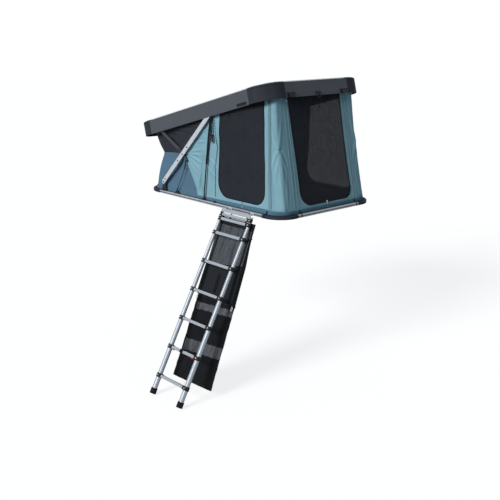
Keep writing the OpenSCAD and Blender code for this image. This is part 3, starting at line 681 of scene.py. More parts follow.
def corner_top(angle):
    """Top edge of the canvas round a rear corner: x and z at an angle from the rear face."""
    return lid_at(REAR_U - REAR_TOP_R + REAR_TOP_R * np.cos(angle), WALL_TOP)


def side_of(c):
    return np.sign(c) + (c == 0)


def waist(t, side):
    """How far the far corner is drawn in at half its height."""
    return np.where(side > 0, WAIST_RIGHT, 0.0) * np.sin(math.pi * np.clip(t, 0, 1))


def corner(angle, t, flat, side):
    """Points of the rear wall and its corners: t from the rail to the lid, flat across the middle."""
    top_z = corner_top(angle)[1]
    cos, sin = arc_at(angle, t)
    top_x = corner_top(0.0)[0] - REAR_TOP_R * (1 - cos) * math.cos(TILT)
    low_x = CANVAS_X - CANVAS_R + CANVAS_R * cos
    low_y = flat * (CANVAS_Y - CANVAS_R) + CANVAS_R * sin
    top_y = flat * (REAR_TOP_Y - REAR_TOP_R) + REAR_TOP_R * sin
    y = low_y + (top_y - low_y) * t - waist(t, side) * flat
    return np.stack([low_x + (top_x - low_x) * t, side * y, RAIL_TOP + (top_z - RAIL_TOP) * t], 1)


def side_corner(x, z):
    """Where a side point lies: the corner's edge there, its angle round the corner and its height."""
    top_x, top_z = corner_top(math.pi / 2)
    t = (z - RAIL_TOP) / (top_z - RAIL_TOP)
    edge = CANVAS_X - CANVAS_R + (top_x - CANVAS_X + CANVAS_R) * t
    radius = CANVAS_R + (REAR_TOP_R - CANVAS_R) * t
    angle = np.clip(math.pi / 2 - (x - edge) / radius, 0, math.pi / 2)
    return t, edge, angle, (z - RAIL_TOP) / (corner_top(angle)[1] - RAIL_TOP)


class SideSurface(Surface):
    """Side of the tent, (x, z); past the rear corner's edge x runs on round the corner."""

    def __init__(self, side):
        self.side = side
        self.turn = -side

    def point(self, p):
        x, z = p[:, 0], p[:, 1]
        t, edge, angle, height = side_corner(x, z)
        draw = (CANVAS_Y - REAR_TOP_Y) * t + waist(t, self.side)
        y = CANVAS_Y - draw * smooth_step((x - DRAW_FROM) / (edge - DRAW_FROM))
        straight = np.stack([x, self.side * y, z], 1)
        return np.where((x > edge)[:, None], corner(angle, height, 1.0, self.side), straight)


class RearSurface(Surface):
    """Rear wall with both corners, (c, h): c runs round the corners, h from the rail to the lid."""

    def point(self, p):
        c, t = p[:, 0], p[:, 1] / REAR_H
        m = np.abs(c)
        angle = np.clip((m - REAR_FLAT) / REAR_ARC, 0, PAST_END) * math.pi / 2
        return corner(angle, t, np.minimum(m / REAR_FLAT, 1), side_of(c))


def side_to_rear(x, z):
    """Rear wall coordinates, on the right, of a point given in side coordinates."""
    _, _, angle, height = side_corner(x, z)
    return (float(REAR_FLAT + REAR_ARC * angle / (math.pi / 2)), float(REAR_H * height))


def rear_flat(y, z):
    """Flat coordinates of a point of the rear wall's straight part."""
    t = (z - RAIL_TOP) / (REAR_TOP[1] - RAIL_TOP)
    low, high = CANVAS_Y - CANVAS_R, REAR_TOP_Y - REAR_TOP_R
    return (REAR_FLAT * y / (low + (high - low) * t), REAR_H * t)


# Front panels: flat coordinates run across the middle, round a corner and on to the seam with the side

FRONT_FLAT, FRONT_ARC, FRONT_SIDE = 0.45, 0.245, 0.5
FRONT_END = FRONT_FLAT + FRONT_ARC + FRONT_SIDE
LOWER_H, UPPER_H = 0.4, 0.42
DRAW_POWER, DRAW_SIDE = 1.3, 0.9
U_FRONT = -2.1 + 0.128
FRONT_SOFT = 0.012
UPPER_T = [0.0, 0.4, 0.7, 1.0]
UPPER_MID = tuple(a + 0.55 * (b - a) for a, b in zip(SEAM[-1], SEAM_RIM))
UPPER_END = [SEAM[-1], UPPER_MID, SEAM_RIM, SEAM_TOP]


def front_arc(c, front_x, half, radius, z_side, z_front):
    """Front of one row of the front canvas for each c, on the right; past the arc it stays at its end."""
    m = np.abs(c)
    angle = np.clip((m - FRONT_FLAT) / FRONT_ARC, 0, 1) * math.pi / 2
    flat = np.minimum(m / FRONT_FLAT, 1)
    return np.stack([front_x + radius * (1 - np.cos(angle)),
                     flat * (half - radius) + radius * np.sin(angle),
                     z_side + (z_front - z_side) * np.cos(angle)], 1)


def to_seam(c, q, end_x, end_z):
    """Carries a row on from the arc's end to its seam with the side wall."""
    f = np.clip((np.abs(c) - FRONT_FLAT - FRONT_ARC) / FRONT_SIDE, 0, PAST_END)
    y = q[:, 1] + (CANVAS_Y - q[:, 1]) * smooth_step(f * 0.5) * 2
    return np.stack([q[:, 0] + (end_x - q[:, 0]) * f, side_of(c) * y, q[:, 2] + (end_z - q[:, 2]) * f], 1)


def along_line(t, stops, line):
    return [np.interp(t, stops, [p[k] for p in line]) for k in (0, 1)]


def lower_arc(c, t):
    draw = WAIST_DRAW * np.clip(t, 0, PAST_END) ** DRAW_POWER
    return front_arc(c, -CANVAS_X + draw, CANVAS_Y - DRAW_SIDE * draw, CANVAS_R,
                     RAIL_TOP + (WAIST_SIDE - RAIL_TOP) * t, RAIL_TOP + (WAIST_Z - RAIL_TOP) * t)


class LowerSurface(Surface):
    """Slate panel round the front, (c, h)."""

    turn = -1.0

    def point(self, p):
        t = np.clip(p[:, 1] / LOWER_H, 0, None)
        return to_seam(p[:, 0], lower_arc(p[:, 0], t), *along_line(t, SEAM_T, SEAM))


class UpperSurface(Surface):
    """Charcoal panel between the front fold and the lid, (c, h)."""

    turn = -1.0

    def point(self, p):
        c, t = p[:, 0], p[:, 1] / UPPER_H
        low = lower_arc(c, np.ones(len(c)))
        top, side_top = lid_at(U_FRONT, WALL_TOP), lid_at(U_FRONT + CANVAS_R, WALL_TOP)
        high = front_arc(c, top[0], CANVAS_Y, CANVAS_R, side_top[1], top[1])
        q = low + (high - low) * t[:, None]
        q[:, 0] = FRONT_LIMIT + np.logaddexp(0, (q[:, 0] - FRONT_LIMIT) / FRONT_SOFT) * FRONT_SOFT
        return to_seam(c, q, *along_line(t, UPPER_T, UPPER_END))


# Cloth laid on the surfaces

ROW_STEP, EDGE_GAP = 0.87, 0.55


def sampled(line, step):
    """Points along an open line, about a step apart, with its last point."""
    pts = []
    for a, b in zip(line[:-1], line[1:]):
        a, b = np.array(a, float), np.array(b, float)
        n = max(1, int(round(np.linalg.norm(b - a) / step)))
        pts += [a + (b - a) * i / n for i in range(n)]
    return np.array(pts + [np.array(line[-1], float)])


def flat_triangles(outline, holes, step, creases):
    """Triangles of an outline with holes: points along its edges and an even staggered field inside."""
    loops = [sampled(loop + loop[:1], step)[:-1] for loop in [outline] + holes]
    lines = [sampled(line, step) for line in creases]
    low, high = loops[0].min(0), loops[0].max(0)
    rows = int((high[1] - low[1]) / (step * ROW_STEP)) + 1
    cols = int((high[0] - low[0]) / step) + 2
    grid = np.array([(low[0] + (i + 0.5 * (r % 2)) * step, low[1] + (r + 0.5) * step * ROW_STEP)
                     for r in range(rows) for i in range(cols)])
    grid = grid[within(grid, loops)]
    edge = np.concatenate(loops + lines)
    far = np.concatenate([np.linalg.norm(part[:, None] - edge[None], axis=2).min(1) > EDGE_GAP * step
                          for part in np.array_split(grid, len(grid) // 500 + 1)])
    points = np.concatenate([edge, grid[far]])
    edges, start = [], 0
    for k, line in enumerate(loops + lines):
        n = len(line)
        last = n if k < len(loops) else n - 1
        edges += [(start + i, start + (i + 1) % n) for i in range(last)]
        start += n
    out, _, tris, _, _, _ = delaunay_2d_cdt([Vector(p) for p in points], edges, [], 0, 1e-7)
    flat = np.array([tuple(v) for v in out])
    tris = np.array([t for t in tris if len(t) == 3])
    return flat, tris[within(flat[tris].mean(1), loops)]


def across_triangles(points, tris):
    """Upright of each triangle, as long as twice its area."""
    a, b, c = (points[tris[:, k]] for k in range(3))
    return np.cross(b - a, c - a)


def folded(obj):
    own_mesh(obj)


def cloth_sheet(name, surface, outline, holes, step, material, slot, nodes, inner=None,
                lift=0.0, creases=(), body="base"):
    """A cut of cloth laid on a surface; with an inner face it is thick."""
    flat, tris = flat_triangles(outline, holes, step, creases)
    points = surface.at(flat, lift)
    wrong = (across_triangles(points, tris) * surface.normal(flat[tris].mean(1))).sum(1) < 0
    tris[wrong] = tris[wrong][:, ::-1]
    build = Build().add(points, tris, flat)
    obj = build.piece(name, [material, inner or material], body, slot, CLOTH_SMOOTH)
    if inner:
        thicken(obj, CLOTH_THICK, inner_slot=1)
    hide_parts(*nodes)
    area = float(np.linalg.norm(across_triangles(surface.point(flat), tris), axis=1).sum() / 2)
    folded(obj)


TRIM_STEP, DASH_STEP = 0.012, 0.002


def lay_strip(build, surface, line, width, thick, crown=0.0, lift=0.0002, closed=False, mat=0):
    """Strip of tape along a line that lies on a surface."""
    flat = sampled(line + line[:1], TRIM_STEP)[:-1] if closed else sampled(line, TRIM_STEP)
    build.ribbon(surface.at(flat, lift), surface.normal(flat), width, thick, crown, closed, mat)


def lay_zip(build, surface, line, coil_mat):
    """Zip on the canvas: a tape and a raised coil."""
    lay_strip(build, surface, line, width=0.012, thick=0.0007, lift=0.0008)
    lay_strip(build, surface, line, width=0.0035, thick=0.0020, crown=0.0010, lift=0.0012, mat=coil_mat)


def lay_dashes(build, surface, line, dash, gap, width, mat):
    """A row of short dark stitches or exposed coil along a line."""
    pts = sampled(line, DASH_STEP)
    run = run_along(pts)
    for start in np.arange(0, run[-1] - dash, dash + gap):
        ends = [tuple(np.interp(s, run, pts[:, k]) for k in (0, 1)) for s in (start, start + dash)]
        lay_strip(build, surface, ends, width, thick=0.0018, crown=0.0006, lift=0.0020, mat=mat)


def arc_points(cx, cy, r, a0, a1, n):
    turns = [math.radians(a0 + (a1 - a0) * i / n) for i in range(n + 1)]
    return [(cx + r * math.cos(a), cy + r * math.sin(a)) for a in turns]


def rounded_ring(half_x, half_y, r, steps):
    """Corner arcs of a rounded rectangle, one after the other."""
    x, y = half_x - r, half_y - r
    corners = ((x, y, 0), (-x, y, 90), (-x, -y, 180), (x, -y, 270))
    return [p for cx, cy, a in corners for p in arc_points(cx, cy, r, a, a + 90, steps)]


def relaxed(line, times):
    """Line with its bends eased; its ends stay."""
    for _ in range(times):
        line[1:-1] = (line[:-2] + 2 * line[1:-1] + line[2:]) / 4
    return line


def between(a, b, count):
    return [a + (b - a) * k / count for k in range(count + 1)]


def mirrored(line, side):
    return [(side * c, h) for c, h in line]


# Shock cords: braided cord from the link arm's elbow to the anchor on the base

CORD_R, SLEEVE_POINTS = 0.003, 9
SLEEVE_R = [0.0046] + [0.0066] * (SLEEVE_POINTS - 2) + [0.0062]
KNOT_R = [0.0045, 0.0068, 0.0074, 0.0072, 0.006, 0.0038]

for label, side in SIDES:
    low, mid, high = (np.array((x, side * CORD_Y, z)) for x, z in (CORD_FOOT, SLEEVE_END, ELBOW))
    path = relaxed(np.array(between(low, mid, 22)[:-1] + between(mid, high, 6)), 3)
    cord = Build().tube(path, CORD_R, 12).piece("shock_cord_" + label, [m_cord], "base", "black_webbing")
    sleeve = Build().tube(path[-SLEEVE_POINTS:], SLEEVE_R, 16)
    sleeve.tube(between(path[0], path[3], 5), KNOT_R, 14)
    sleeve = sleeve.piece("cord_sleeve_" + label, [m_sleeve], "base", "black_plastic")
    if side < 0:
        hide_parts("shock_cords")
    folded(cord)
    folded(sleeve)

# Canvas: folds read from the photograph as (start, end, height, width, lead)

CANVAS_STEP, NET_STEP, NET_SINK, FAR_SHARE = 0.0085, 0.014, -0.0022, 0.8
SIDE_FOLDS = [
    ((-0.375, 0.476), (-0.062, 0.554), 0.0113, 0.013, 0.6),
    ((-0.350, 0.468), (-0.090, 0.478), 0.0113, 0.013, 0.6),
    ((-0.334, 0.455), (-0.106, 0.389), 0.0145, 0.013, 0.6),
    ((-0.322, 0.423), (-0.161, 0.323), 0.0145, 0.012, 0.6),
    ((-0.323, 0.388), (-0.203, 0.266), 0.0131, 0.012, 0.6),
    ((-0.300, 0.340), (-0.215, 0.190), 0.0104, 0.012, 0.7),
    ((-0.194, 0.607), (-0.047, 0.622), 0.0104, 0.012, 0.7),
    ((-0.230, 0.640), (-0.010, 0.850), 0.0084, 0.016, 0.9),
    ((-0.160, 0.700), (0.000, 0.760), 0.0084, 0.014, 0.9),
    ((-0.095, 0.550), (-0.171, 0.184), 0.0142, 0.012, 0.9),
    ((-0.127, 0.327), (-0.194, 0.077), 0.0142, 0.012, 0.9),
    ((-0.060, 0.430), (-0.110, 0.100), 0.0113, 0.012, 0.9),
    ((-0.150, 0.300), (-0.205, 0.060), 0.0143, 0.012, 0.9),
    ((-0.105, 0.260), (-0.140, 0.060), 0.0130, 0.012, 0.9),
    ((-0.118, 0.330), (-0.165, 0.055), -0.0120, 0.008, 0.9),
    ((-0.080, 0.360), (-0.125, 0.055), -0.0120, 0.008, 0.9),
    ((-0.168, 0.260), (-0.190, 0.055), -0.0110, 0.007, 0.9),
    ((0.055, 0.860), (0.015, 0.500), 0.0104, 0.012, 0.9),
    ((0.110, 0.880), (0.115, 0.520), 0.0113, 0.013, 0.9),
    ((-0.010, 0.470), (0.130, 0.365), 0.0104, 0.012, 0.8),
    ((-0.030, 0.375), (0.090, 0.270), 0.0094, 0.012, 0.8),
    ((0.030, 0.420), (0.010, 0.090), 0.0084, 0.012, 0.9),
    ((0.768, 1.150), (0.795, 0.500), 0.0075, 0.013, 1.0),
    ((0.812, 0.560), (0.832, 0.080), 0.0075, 0.012, 1.0),
]
WINDOW_FOLDS = [
    ((0.141, 0.312), (0.451, 0.166), 0.0040, 0.016, 0.7),
    ((0.152, 0.230), (0.365, 0.133), 0.0040, 0.014, 0.7),
    ((0.150, 0.480), (0.420, 0.260), 0.0025, 0.024, 0.7),
    ((0.250, 0.930), (0.340, 0.640), 0.0025, 0.026, 0.7),
    ((0.600, 1.010), (0.680, 0.700), 0.0025, 0.026, 0.7),
    ((0.690, 0.420), (0.770, 0.160), 0.0025, 0.020, 0.9),
]
FAR_FOLDS = [
    ((0.420, 0.800), (0.760, 0.200), 0.0110, 0.016, 0.9),
    ((0.500, 0.820), (0.770, 0.330), 0.0110, 0.016, 0.9),
    ((0.360, 0.620), (0.720, 0.150), 0.0100, 0.016, 0.9),
    ((0.600, 0.760), (0.775, 0.450), 0.0090, 0.014, 0.9),
]
CORNER_EDGE = [(0.872, 0.03), (0.8665, 0.107), (0.8305, 0.632), (0.795, 1.064), (0.7825, 1.2157)]
SIDE_EDGE = SEAM + [SEAM_RIM, SEAM_TOP]


def rim_z(x):
    return LID_Z + (x - LID_X) * math.tan(TILT)


def corner_arch(count=6):
    """Top edge of the side wall round the rear corner, in side coordinates."""
    x0 = corner_top(math.pi / 2)[0]
    reaches = [(CORNER_EDGE[-1][0] - x0) * k / count for k in range(count)]
    return [(x0 + reach, corner_top(math.pi / 2 - reach / REAR_TOP_R)[1]) for reach in reaches]


window_side = ([(x, rim_z(x) + 0.008) for x in (0.160, 0.733)] + [(0.769, 0.654), (0.790, 0.398)]
               + arc_points(0.671, 0.220, 0.12, 0, -90, 10) + arc_points(0.278, 0.252, 0.15, 270, 180, 12)
               + [(0.131, 0.332), (0.142, 0.428), (0.155, 0.556), (0.150, 0.710)])
side_outline = SIDE_EDGE + corner_arch() + CORNER_EDGE[::-1]

side_surfaces = {}
for label, side in SIDES:
    surface = SideSurface(side)
    surface.folds = SIDE_FOLDS + WINDOW_FOLDS + (FAR_FOLDS if side > 0 else [])
    surface.waves = ripple_waves(7, 0.0011, 0.18, 0.6)
    surface.limits = (0.014, 0.0125)
    surface.soft_edges = [(SIDE_EDGE, 0.035), (CORNER_EDGE, 0.02), ([(-0.25, 0.03), (0.9, 0.03)], 0.07)]
    side_surfaces[side] = surface
    cloth_sheet("side_wall_cloth_" + label, surface, side_outline, [window_side], CANVAS_STEP, m_teal,
                "teal_canvas", ["side_wall_" + label], m_inside_painted_shade)

# Rear wall: a sharp ridge down each corner, the near one pinched half way

RIDGE = [(0.554, 1.19), (0.562, 0.816), (0.568, 0.600), (0.567, 0.333), (0.565, 0.030)]
CORNER_FOLDS = [
    ((0.566, 0.620), (0.645, 0.400), 0.0090, 0.012, 0.6),
    ((0.566, 0.600), (0.505, 0.380), 0.0085, 0.012, 0.6),
    ((0.570, 0.560), (0.622, 0.250), 0.0065, 0.011, 0.7),
    ((0.562, 0.560), (0.535, 0.220), 0.0060, 0.011, 0.7),
    ((0.566, 0.600), (0.620, 0.860), 0.0060, 0.012, 0.6),
    ((0.562, 0.610), (0.515, 0.900), 0.0060, 0.012, 0.6),
    ((0.605, 1.150), (0.625, 0.700), 0.0040, 0.012, 1.0),
    ((0.640, 0.500), (0.652, 0.060), 0.0040, 0.012, 1.0),
    ((0.515, 0.420), (0.530, 0.060), 0.0045, 0.011, 1.0),
    ((0.450, 0.900), (0.455, 0.120), 0.0030, 0.012, 1.0),
]
RIDGE_H, RIDGE_W = 0.018, 0.065
PINCH = ([(-0.545, 0.605), (-0.590, 0.600)], -0.005, 0.022)

corner_line = [side_to_rear(*p) for p in sampled(CORNER_EDGE, 0.06)]
ridge_lines = [mirrored(RIDGE, s) for s in (-1, 1)]

rear = RearSurface()
rear.folds = [(*mirrored((a, b), s), h * k, w, lead) for s, k in ((-1, 1.0), (1, FAR_SHARE))
              for a, b, h, w, lead in CORNER_FOLDS]
rear.ridges = [(line, RIDGE_H, RIDGE_W) for line in ridge_lines] + [PINCH]
rear.waves = ripple_waves(6, 0.0010, 0.2, 0.6)
rear.limits = (0.014, 0.020)
rear.soft_edges = [(mirrored(corner_line, s), 0.02) for s in (-1, 1)] + [([(-0.7, 0), (0.7, 0)], 0.07)]
rear_hole = ([(-0.409, 1.085), (0.381, 1.085), (0.393, 0.731)] + arc_points(0.303, 0.162, 0.1, 0, -90, 10)
             + arc_points(-0.212, 0.205, 0.145, 270, 180, 12) + [(-0.368, 0.501), (-0.387, 0.789)])
rear_outline = mirrored(corner_line, -1) + corner_line[::-1]
cloth_sheet("rear_wall_cloth", rear, rear_outline, [rear_hole], CANVAS_STEP, m_teal, "teal_canvas",
            ["rear_wall"], m_inside_painted_shade, creases=ridge_lines)

# Window nets

for label, side in SIDES:
    nodes = ["window_meshes"] if side < 0 else []
    cloth_sheet("window_net_" + label, side_surfaces[side], window_side, [], NET_STEP, m_window, "mesh",
                nodes, lift=NET_SINK)
cloth_sheet("window_net_rear", rear, rear_hole, [], NET_STEP, m_window, "mesh", [],
            lift=NET_SINK)

# Front panels

SLATE_STEP, CHARCOAL_STEP = 0.008, 0.007
PLEAT_FROM, PLEAT_STEP = -0.62, 0.155

lower = LowerSurface()
upper = UpperSurface()


def front_flat(surface, height, x, z):
    """Flat coordinates on the left side of a front panel, found from the side view."""
    c, h = np.meshgrid(np.linspace(-FRONT_END, -FRONT_FLAT, 240), np.linspace(0, height, 120))
    p = np.stack([c.ravel(), h.ravel()], 1)
    q = surface.point(p)
    return tuple(p[np.argmin((q[:, 0] - x) ** 2 + (q[:, 2] - z) ** 2)])


def front_folds(surface, lines, height, e=0.004):
    """Folds given in the side view; the width is met after the panel's own stretch across the fold."""
    folds = []
    for a, b, h, w, lead in lines:
        p, q = front_flat(surface, height, *a), front_flat(surface, height, *b)
        mid, along = (np.array(p) + q) / 2, np.array(q) - p
        across = np.array((-along[1], along[0])) / np.linalg.norm(along) * e
        ends = surface.point(np.array((mid + across, mid - across)))
        w = w * 2 * e / np.linalg.norm(ends[0] - ends[1])
        folds.append((p, q, h, w, lead))
        folds.append((*mirrored((p, q), -1), -FAR_SHARE * h, w, lead))
    return folds


SLATE_LINES = [
    ((-0.400, 0.360), (-0.500, 0.080), 0.0101, 0.014, 0.6),
    ((-0.370, 0.340), (-0.235, 0.140), 0.0101, 0.014, 0.6),
    ((-0.440, 0.370), (-0.600, 0.090), 0.0084, 0.015, 0.6),
    ((-0.340, 0.270), (-0.260, 0.080), 0.0084, 0.014, 0.8),
    ((-0.520, 0.380), (-0.680, 0.120), 0.0077, 0.017, 0.6),
    ((-0.620, 0.370), (-0.760, 0.110), 0.0077, 0.018, 0.8),
    ((-0.740, 0.380), (-0.830, 0.100), 0.0077, 0.020, 0.8),
]
CHARCOAL_LINES = [
    ((-0.623, 0.666), (-0.372, 0.588), 0.0200, 0.018, 0.9),
    ((-0.550, 0.708), (-0.259, 0.667), 0.0200, 0.018, 0.9),
    ((-0.483, 0.594), (-0.317, 0.568), 0.0168, 0.016, 0.9),
    ((-0.366, 0.767), (-0.177, 0.746), 0.0180, 0.016, 0.9),
    ((-0.720, 0.620), (-0.480, 0.530), 0.0156, 0.019, 0.9),
    ((-0.300, 0.800), (-0.110, 0.790), 0.0120, 0.016, 0.9),
]
lower.folds = front_folds(lower, SLATE_LINES, LOWER_H)
upper.folds = front_folds(upper, CHARCOAL_LINES, UPPER_H)
for k in range(9):
    c = PLEAT_FROM + PLEAT_STEP * k
    low_end, high_end = (c + 0.03 * math.sin(5 * k), 0.06), (c + 0.04 * math.cos(4 * k), 0.34)
    lower.folds.append(((c, 0.37), low_end, 0.005 + 0.002 * math.cos(3 * k), 0.018, 1.0))
    upper.folds.append(((c, 0.02), high_end, 0.007 + 0.002 * math.sin(3 * k), 0.018, 0.9))
lower.waves = ripple_waves(5, 0.0010, 0.2, 0.5)
upper.waves = ripple_waves(5, 0.0014, 0.15, 0.4)
lower.limits = (0.014, 0.009)
upper.limits = (0.012, 0.022)


def front_outline(height):
    return [(-FRONT_END, 0), (FRONT_END, 0), (FRONT_END, height), (-FRONT_END, height)]


def front_edges(height, low_reach, high_reach):
    corners = front_outline(height)
    return [([corners[0], corners[3]], 0.03), ([corners[1], corners[2]], 0.03),
            ([corners[0], corners[1]], low_reach), ([corners[3], corners[2]], high_reach)]


lower.soft_edges = front_edges(LOWER_H, 0.07, 0.02)
upper.soft_edges = front_edges(UPPER_H, 0.02, 0.04)
cloth_sheet("front_lower_cloth", lower, front_outline(LOWER_H), [], SLATE_STEP, m_slate, "slate_canvas",
            ["front_lower_panel"], m_inside_painted_shade)
cloth_sheet("front_upper_cloth", upper, front_outline(UPPER_H), [], CHARCOAL_STEP, m_charcoal,
            "charcoal_canvas", ["front_upper_panel"], m_inside_painted_shade, body="lid")

# Skirt band round the foot of the canvas

SKIRT_OUT, SKIRT_H, SKIRT_R, SKIRT_LIFT = 0.0375, 0.05, 0.2, 0.0004
SKIRT_SWELL, SKIRT_LEAN, SKIRT_WAVES = 0.0016, 0.002, ((0.0012, 23, 0), (0.0009, 51, 1))
SKIRT_AT, SKIRT_TALL = [-1.0, -0.2, 0.85, 1.0], [0.030, 0.030, 0.047, 0.038]


def skirt_line(inset):
    line = rounded_ring(HALF_L - inset, HALF_W - inset, SKIRT_R - inset, 14)
    pts = []
    for a, b in zip(line, line[1:] + line[:1]):
        n = max(1, int(math.dist(a, b) / 0.02))
        pts += [(a[0] + (b[0] - a[0]) * i / n, a[1] + (b[1] - a[1]) * i / n) for i in range(n)]
    return pts


def skirt():
    ring = np.array(skirt_line(SKIRT_OUT))
    ahead = unit(np.roll(ring, -1, 0) - np.roll(ring, 1, 0))
    out = np.stack([ahead[:, 1], -ahead[:, 0]], 1)
    run = run_along(ring)
    tall = np.interp(ring[:, 0], SKIRT_AT, SKIRT_TALL)
    verts, uv = [], []
    levels = np.linspace(0, 1, 7)
    for h in levels:
        swell = SKIRT_SWELL * math.sin(math.pi * h) - SKIRT_LEAN * h
        wobble = sum(size * np.sin(run * rate + lead) * h for size, rate, lead in SKIRT_WAVES)
        z = RAIL_TOP + SKIRT_LIFT + tall * h + 0.001 * np.sin(run * 9) * h
        verts += list(np.column_stack([ring + out * (swell + wobble)[:, None], z]))
        uv += [(r, SKIRT_H * h) for r in run]
    faces = grid_faces(len(levels), len(ring), wrap=True)
    skirt_mesh = Build().add(verts, faces, uv)
    obj = skirt_mesh.piece("skirt_cloth", [m_skirt, m_inside_painted_shade], "base", "slate_canvas", CLOTH_SMOOTH)
    thicken(obj, CLOTH_THICK)
    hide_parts("base_skirt")
    folded(obj)


skirt()

# Zips, bindings, seams and small fittings on the canvas

SIDE_ZIP = [(0.070, 0.905), (0.073, 0.854), (0.126, 0.574), (0.084, 0.396), (0.079, 0.082)]
CORNER_ZIP = [(0.777, 1.180), (0.787, 1.064), (0.822, 0.632), (0.856, 0.106), (0.858, 0.084)]
CORNER_ZIP_REAR = [(0.792, 1.190), (0.803, 1.064), (0.839, 0.632), (0.877, 0.108), (0.879, 0.084)]
REAR_ZIPS = [((-0.480, 1.09), (-0.450, 0.057)), ((-0.434, 1.09), (-0.404, 0.050)),
             ((0.436, 1.09), (0.439, 0.058)), ((0.482, 1.09), (0.482, 0.063))]
BINDING = dict(thick=0.0012, crown=0.0006, lift=0.0, closed=True, mat=1)
HEMS = ((0.006, 0.016, 0.0012, 0.0006), (0.030, 0.003, 0.0008, 0.0004))


def trims():
    for label, side in SIDES:
        surface = side_surfaces[side]
        zips = Build()
        lay_strip(zips, surface, SIDE_ZIP, width=0.014, thick=0.0007, lift=0.0010)
        lay_dashes(zips, surface, SIDE_ZIP, dash=0.016, gap=0.012, width=0.0060, mat=1)
        lay_zip(zips, surface, CORNER_ZIP, 2)
        lay_strip(zips, surface, window_side, width=0.010, **BINDING)
        folded(zips.piece("side_zips_" + label, [m_zip, m_dark_tape, m_zip_grey], "base", "charcoal_canvas"))
    zips = Build()
    for line in REAR_ZIPS:
        lay_zip(zips, rear, list(line), 2)
    corner_zip = [side_to_rear(*p) for p in sampled(CORNER_ZIP_REAR, 0.06)]
    for s in (-1, 1):
        lay_zip(zips, rear, mirrored(corner_zip, s), 3)
    lay_strip(zips, rear, rear_hole, width=0.013, **BINDING)
    folded(zips.piece("rear_zips", [m_zip, m_dark_tape, m_zip_pale, m_zip_grey], "base", "charcoal_canvas"))
    hems = Build()
    edge = FRONT_END - 0.006
    for drop, width, thick, crown in HEMS:
        lay_strip(hems, lower, [(-edge, LOWER_H - drop), (edge, LOWER_H - drop)], width, thick, crown)
    folded(hems.piece("front_hems", [m_slate], "base", "slate_canvas"))
    seams = Build()
    line = [(x + 0.006, z) for x, z in SEAM + [SEAM_RIM]] + [(SEAM_TOP[0] + 0.008, SEAM_TOP[1])]
    for surface in side_surfaces.values():
        lay_strip(seams, surface, line, width=0.012, thick=0.0012, crown=0.0005)
    folded(seams.piece("side_seams", [m_teal], "base", "teal_canvas"))


trims()


def wall_frame(point, normal, lift=0.0):
    """Place on a wall, its outward and upward directions, and the turn of a box that lies on it."""
    n = Vector(normal).normalized()
    along = Vector((0, 0, 1)).cross(n).normalized()
    up = n.cross(along)
    return Vector(point) + n * lift, n, up, Matrix((along, up, n)).transposed().to_4x4()


SLIDER, PULLER = (0.012, 0.018, 0.007), (0.009, 0.026, 0.006)
TOGGLE, HOOK = (0.036, 0.013, 0.011), (0.011, 0.016, 0.007)
HOOK_R, PULLER_R, TOGGLE_R = 0.0022, 0.0022, 0.003


def zip_pull(build, point, normal, drop):
    """Slider with a cord puller hanging down the canvas."""
    base, n, up, turn = wall_frame(point, normal)
    build.box(SLIDER, 0.002, Matrix.Translation(base + n * 0.004) @ turn)
    line = [base + n * (0.008 - 0.004 * k / 7) - up * (drop * k / 7) for k in range(8)]
    build.tube(line, PULLER_R)
    build.box(PULLER, 0.002, Matrix.Translation(line[-1] - up * 0.010) @ turn)


def toggle(build, point, normal):
    """Black toggle and loop that hold a rolled window cover."""
    base, n, up, turn = wall_frame(point, normal, 0.006)
    build.box(TOGGLE, 0.004, Matrix.Translation(base) @ turn, mat=1)
    build.tube(between(base, base + up * 0.05 - n * 0.004, 6), TOGGLE_R, mat=1)


def rim_hook(build, point, normal):
    """White hook under the lid's rim that holds the canvas up."""
    base, n, up, turn = wall_frame(point, normal, 0.004)
    build.box(HOOK, 0.002, Matrix.Translation(base + up * 0.006) @ turn, mat=2)
    bend = np.linspace(0, math.pi, 9)
    build.tube([base + up * 0.012 * math.cos(a) + n * 0.008 * math.sin(a) for a in bend], HOOK_R, mat=2)


RIM_HOOKS = [(-0.622, 1.048), (-0.504, 1.060), (-0.436, 1.039), (0.487, 1.064), (0.575, 1.068)]


def on_rear(flat, lift):
    """Point and normal of the rear wall."""
    return rear.at([flat], lift)[0], rear.normal(np.array([flat]))[0]


def fittings():
    small = Build()
    for side, surface in side_surfaces.items():
        zip_pull(small, surface.at([(0.487, 0.086)], 0.002)[0], (0, side, 0), drop=0.030)
        for x in (0.284, 0.612):
            toggle(small, surface.at([(x, rim_z(x) - 0.03)])[0], (0, side, 0))
    zip_pull(small, *on_rear(rear_flat(0.012, 0.094), 0.002), drop=0.034)
    for y in (-0.24, 0.27):
        point, normal = on_rear(rear_flat(y, 1.06), -0.014)
        toggle(small, point, -normal)
    for flat in RIM_HOOKS:
        rim_hook(small, *on_rear(flat, 0.001))
    folded(small.piece("canvas_fittings", [m_steel, m_black, m_white], "base", "steel"))


fittings()

TAB_WIDTH, TAB_THICK = 0.012, 0.0016
TABS = [((1.0, 0.0), -0.379), ((1.0, 0.0), 0.395), ((0.0, -1.0), 0.840), ((0.0, 1.0), 0.840)]
TAB_STEPS = [(-0.034, 0.066), (-0.030, 0.048), (-0.012, 0.034), (0.001, 0.030), (0.0015, 0.018),
             (0.0015, 0.004)]


def skirt_tabs():
    """Webbing tabs that hang from the skirt over the base rail."""
    tabs = Build()
    for (ox, oy), along in TABS:
        reach = HALF_L if ox else HALF_W
        line = [(ox * (reach + d) + abs(oy) * along, oy * (reach + d) + ox * along, z) for d, z in TAB_STEPS]
        outward = [Vector((ox, oy, t)).normalized() for t in np.linspace(0.3, 0.0, len(line))]
        tabs.ribbon(line, outward, TAB_WIDTH, TAB_THICK)
    tabs.piece("skirt_tabs", [m_webbing], "base", "black_webbing")


skirt_tabs()

# Closing straps: webbing from the lid track to the base, with a buckle on a short second strap

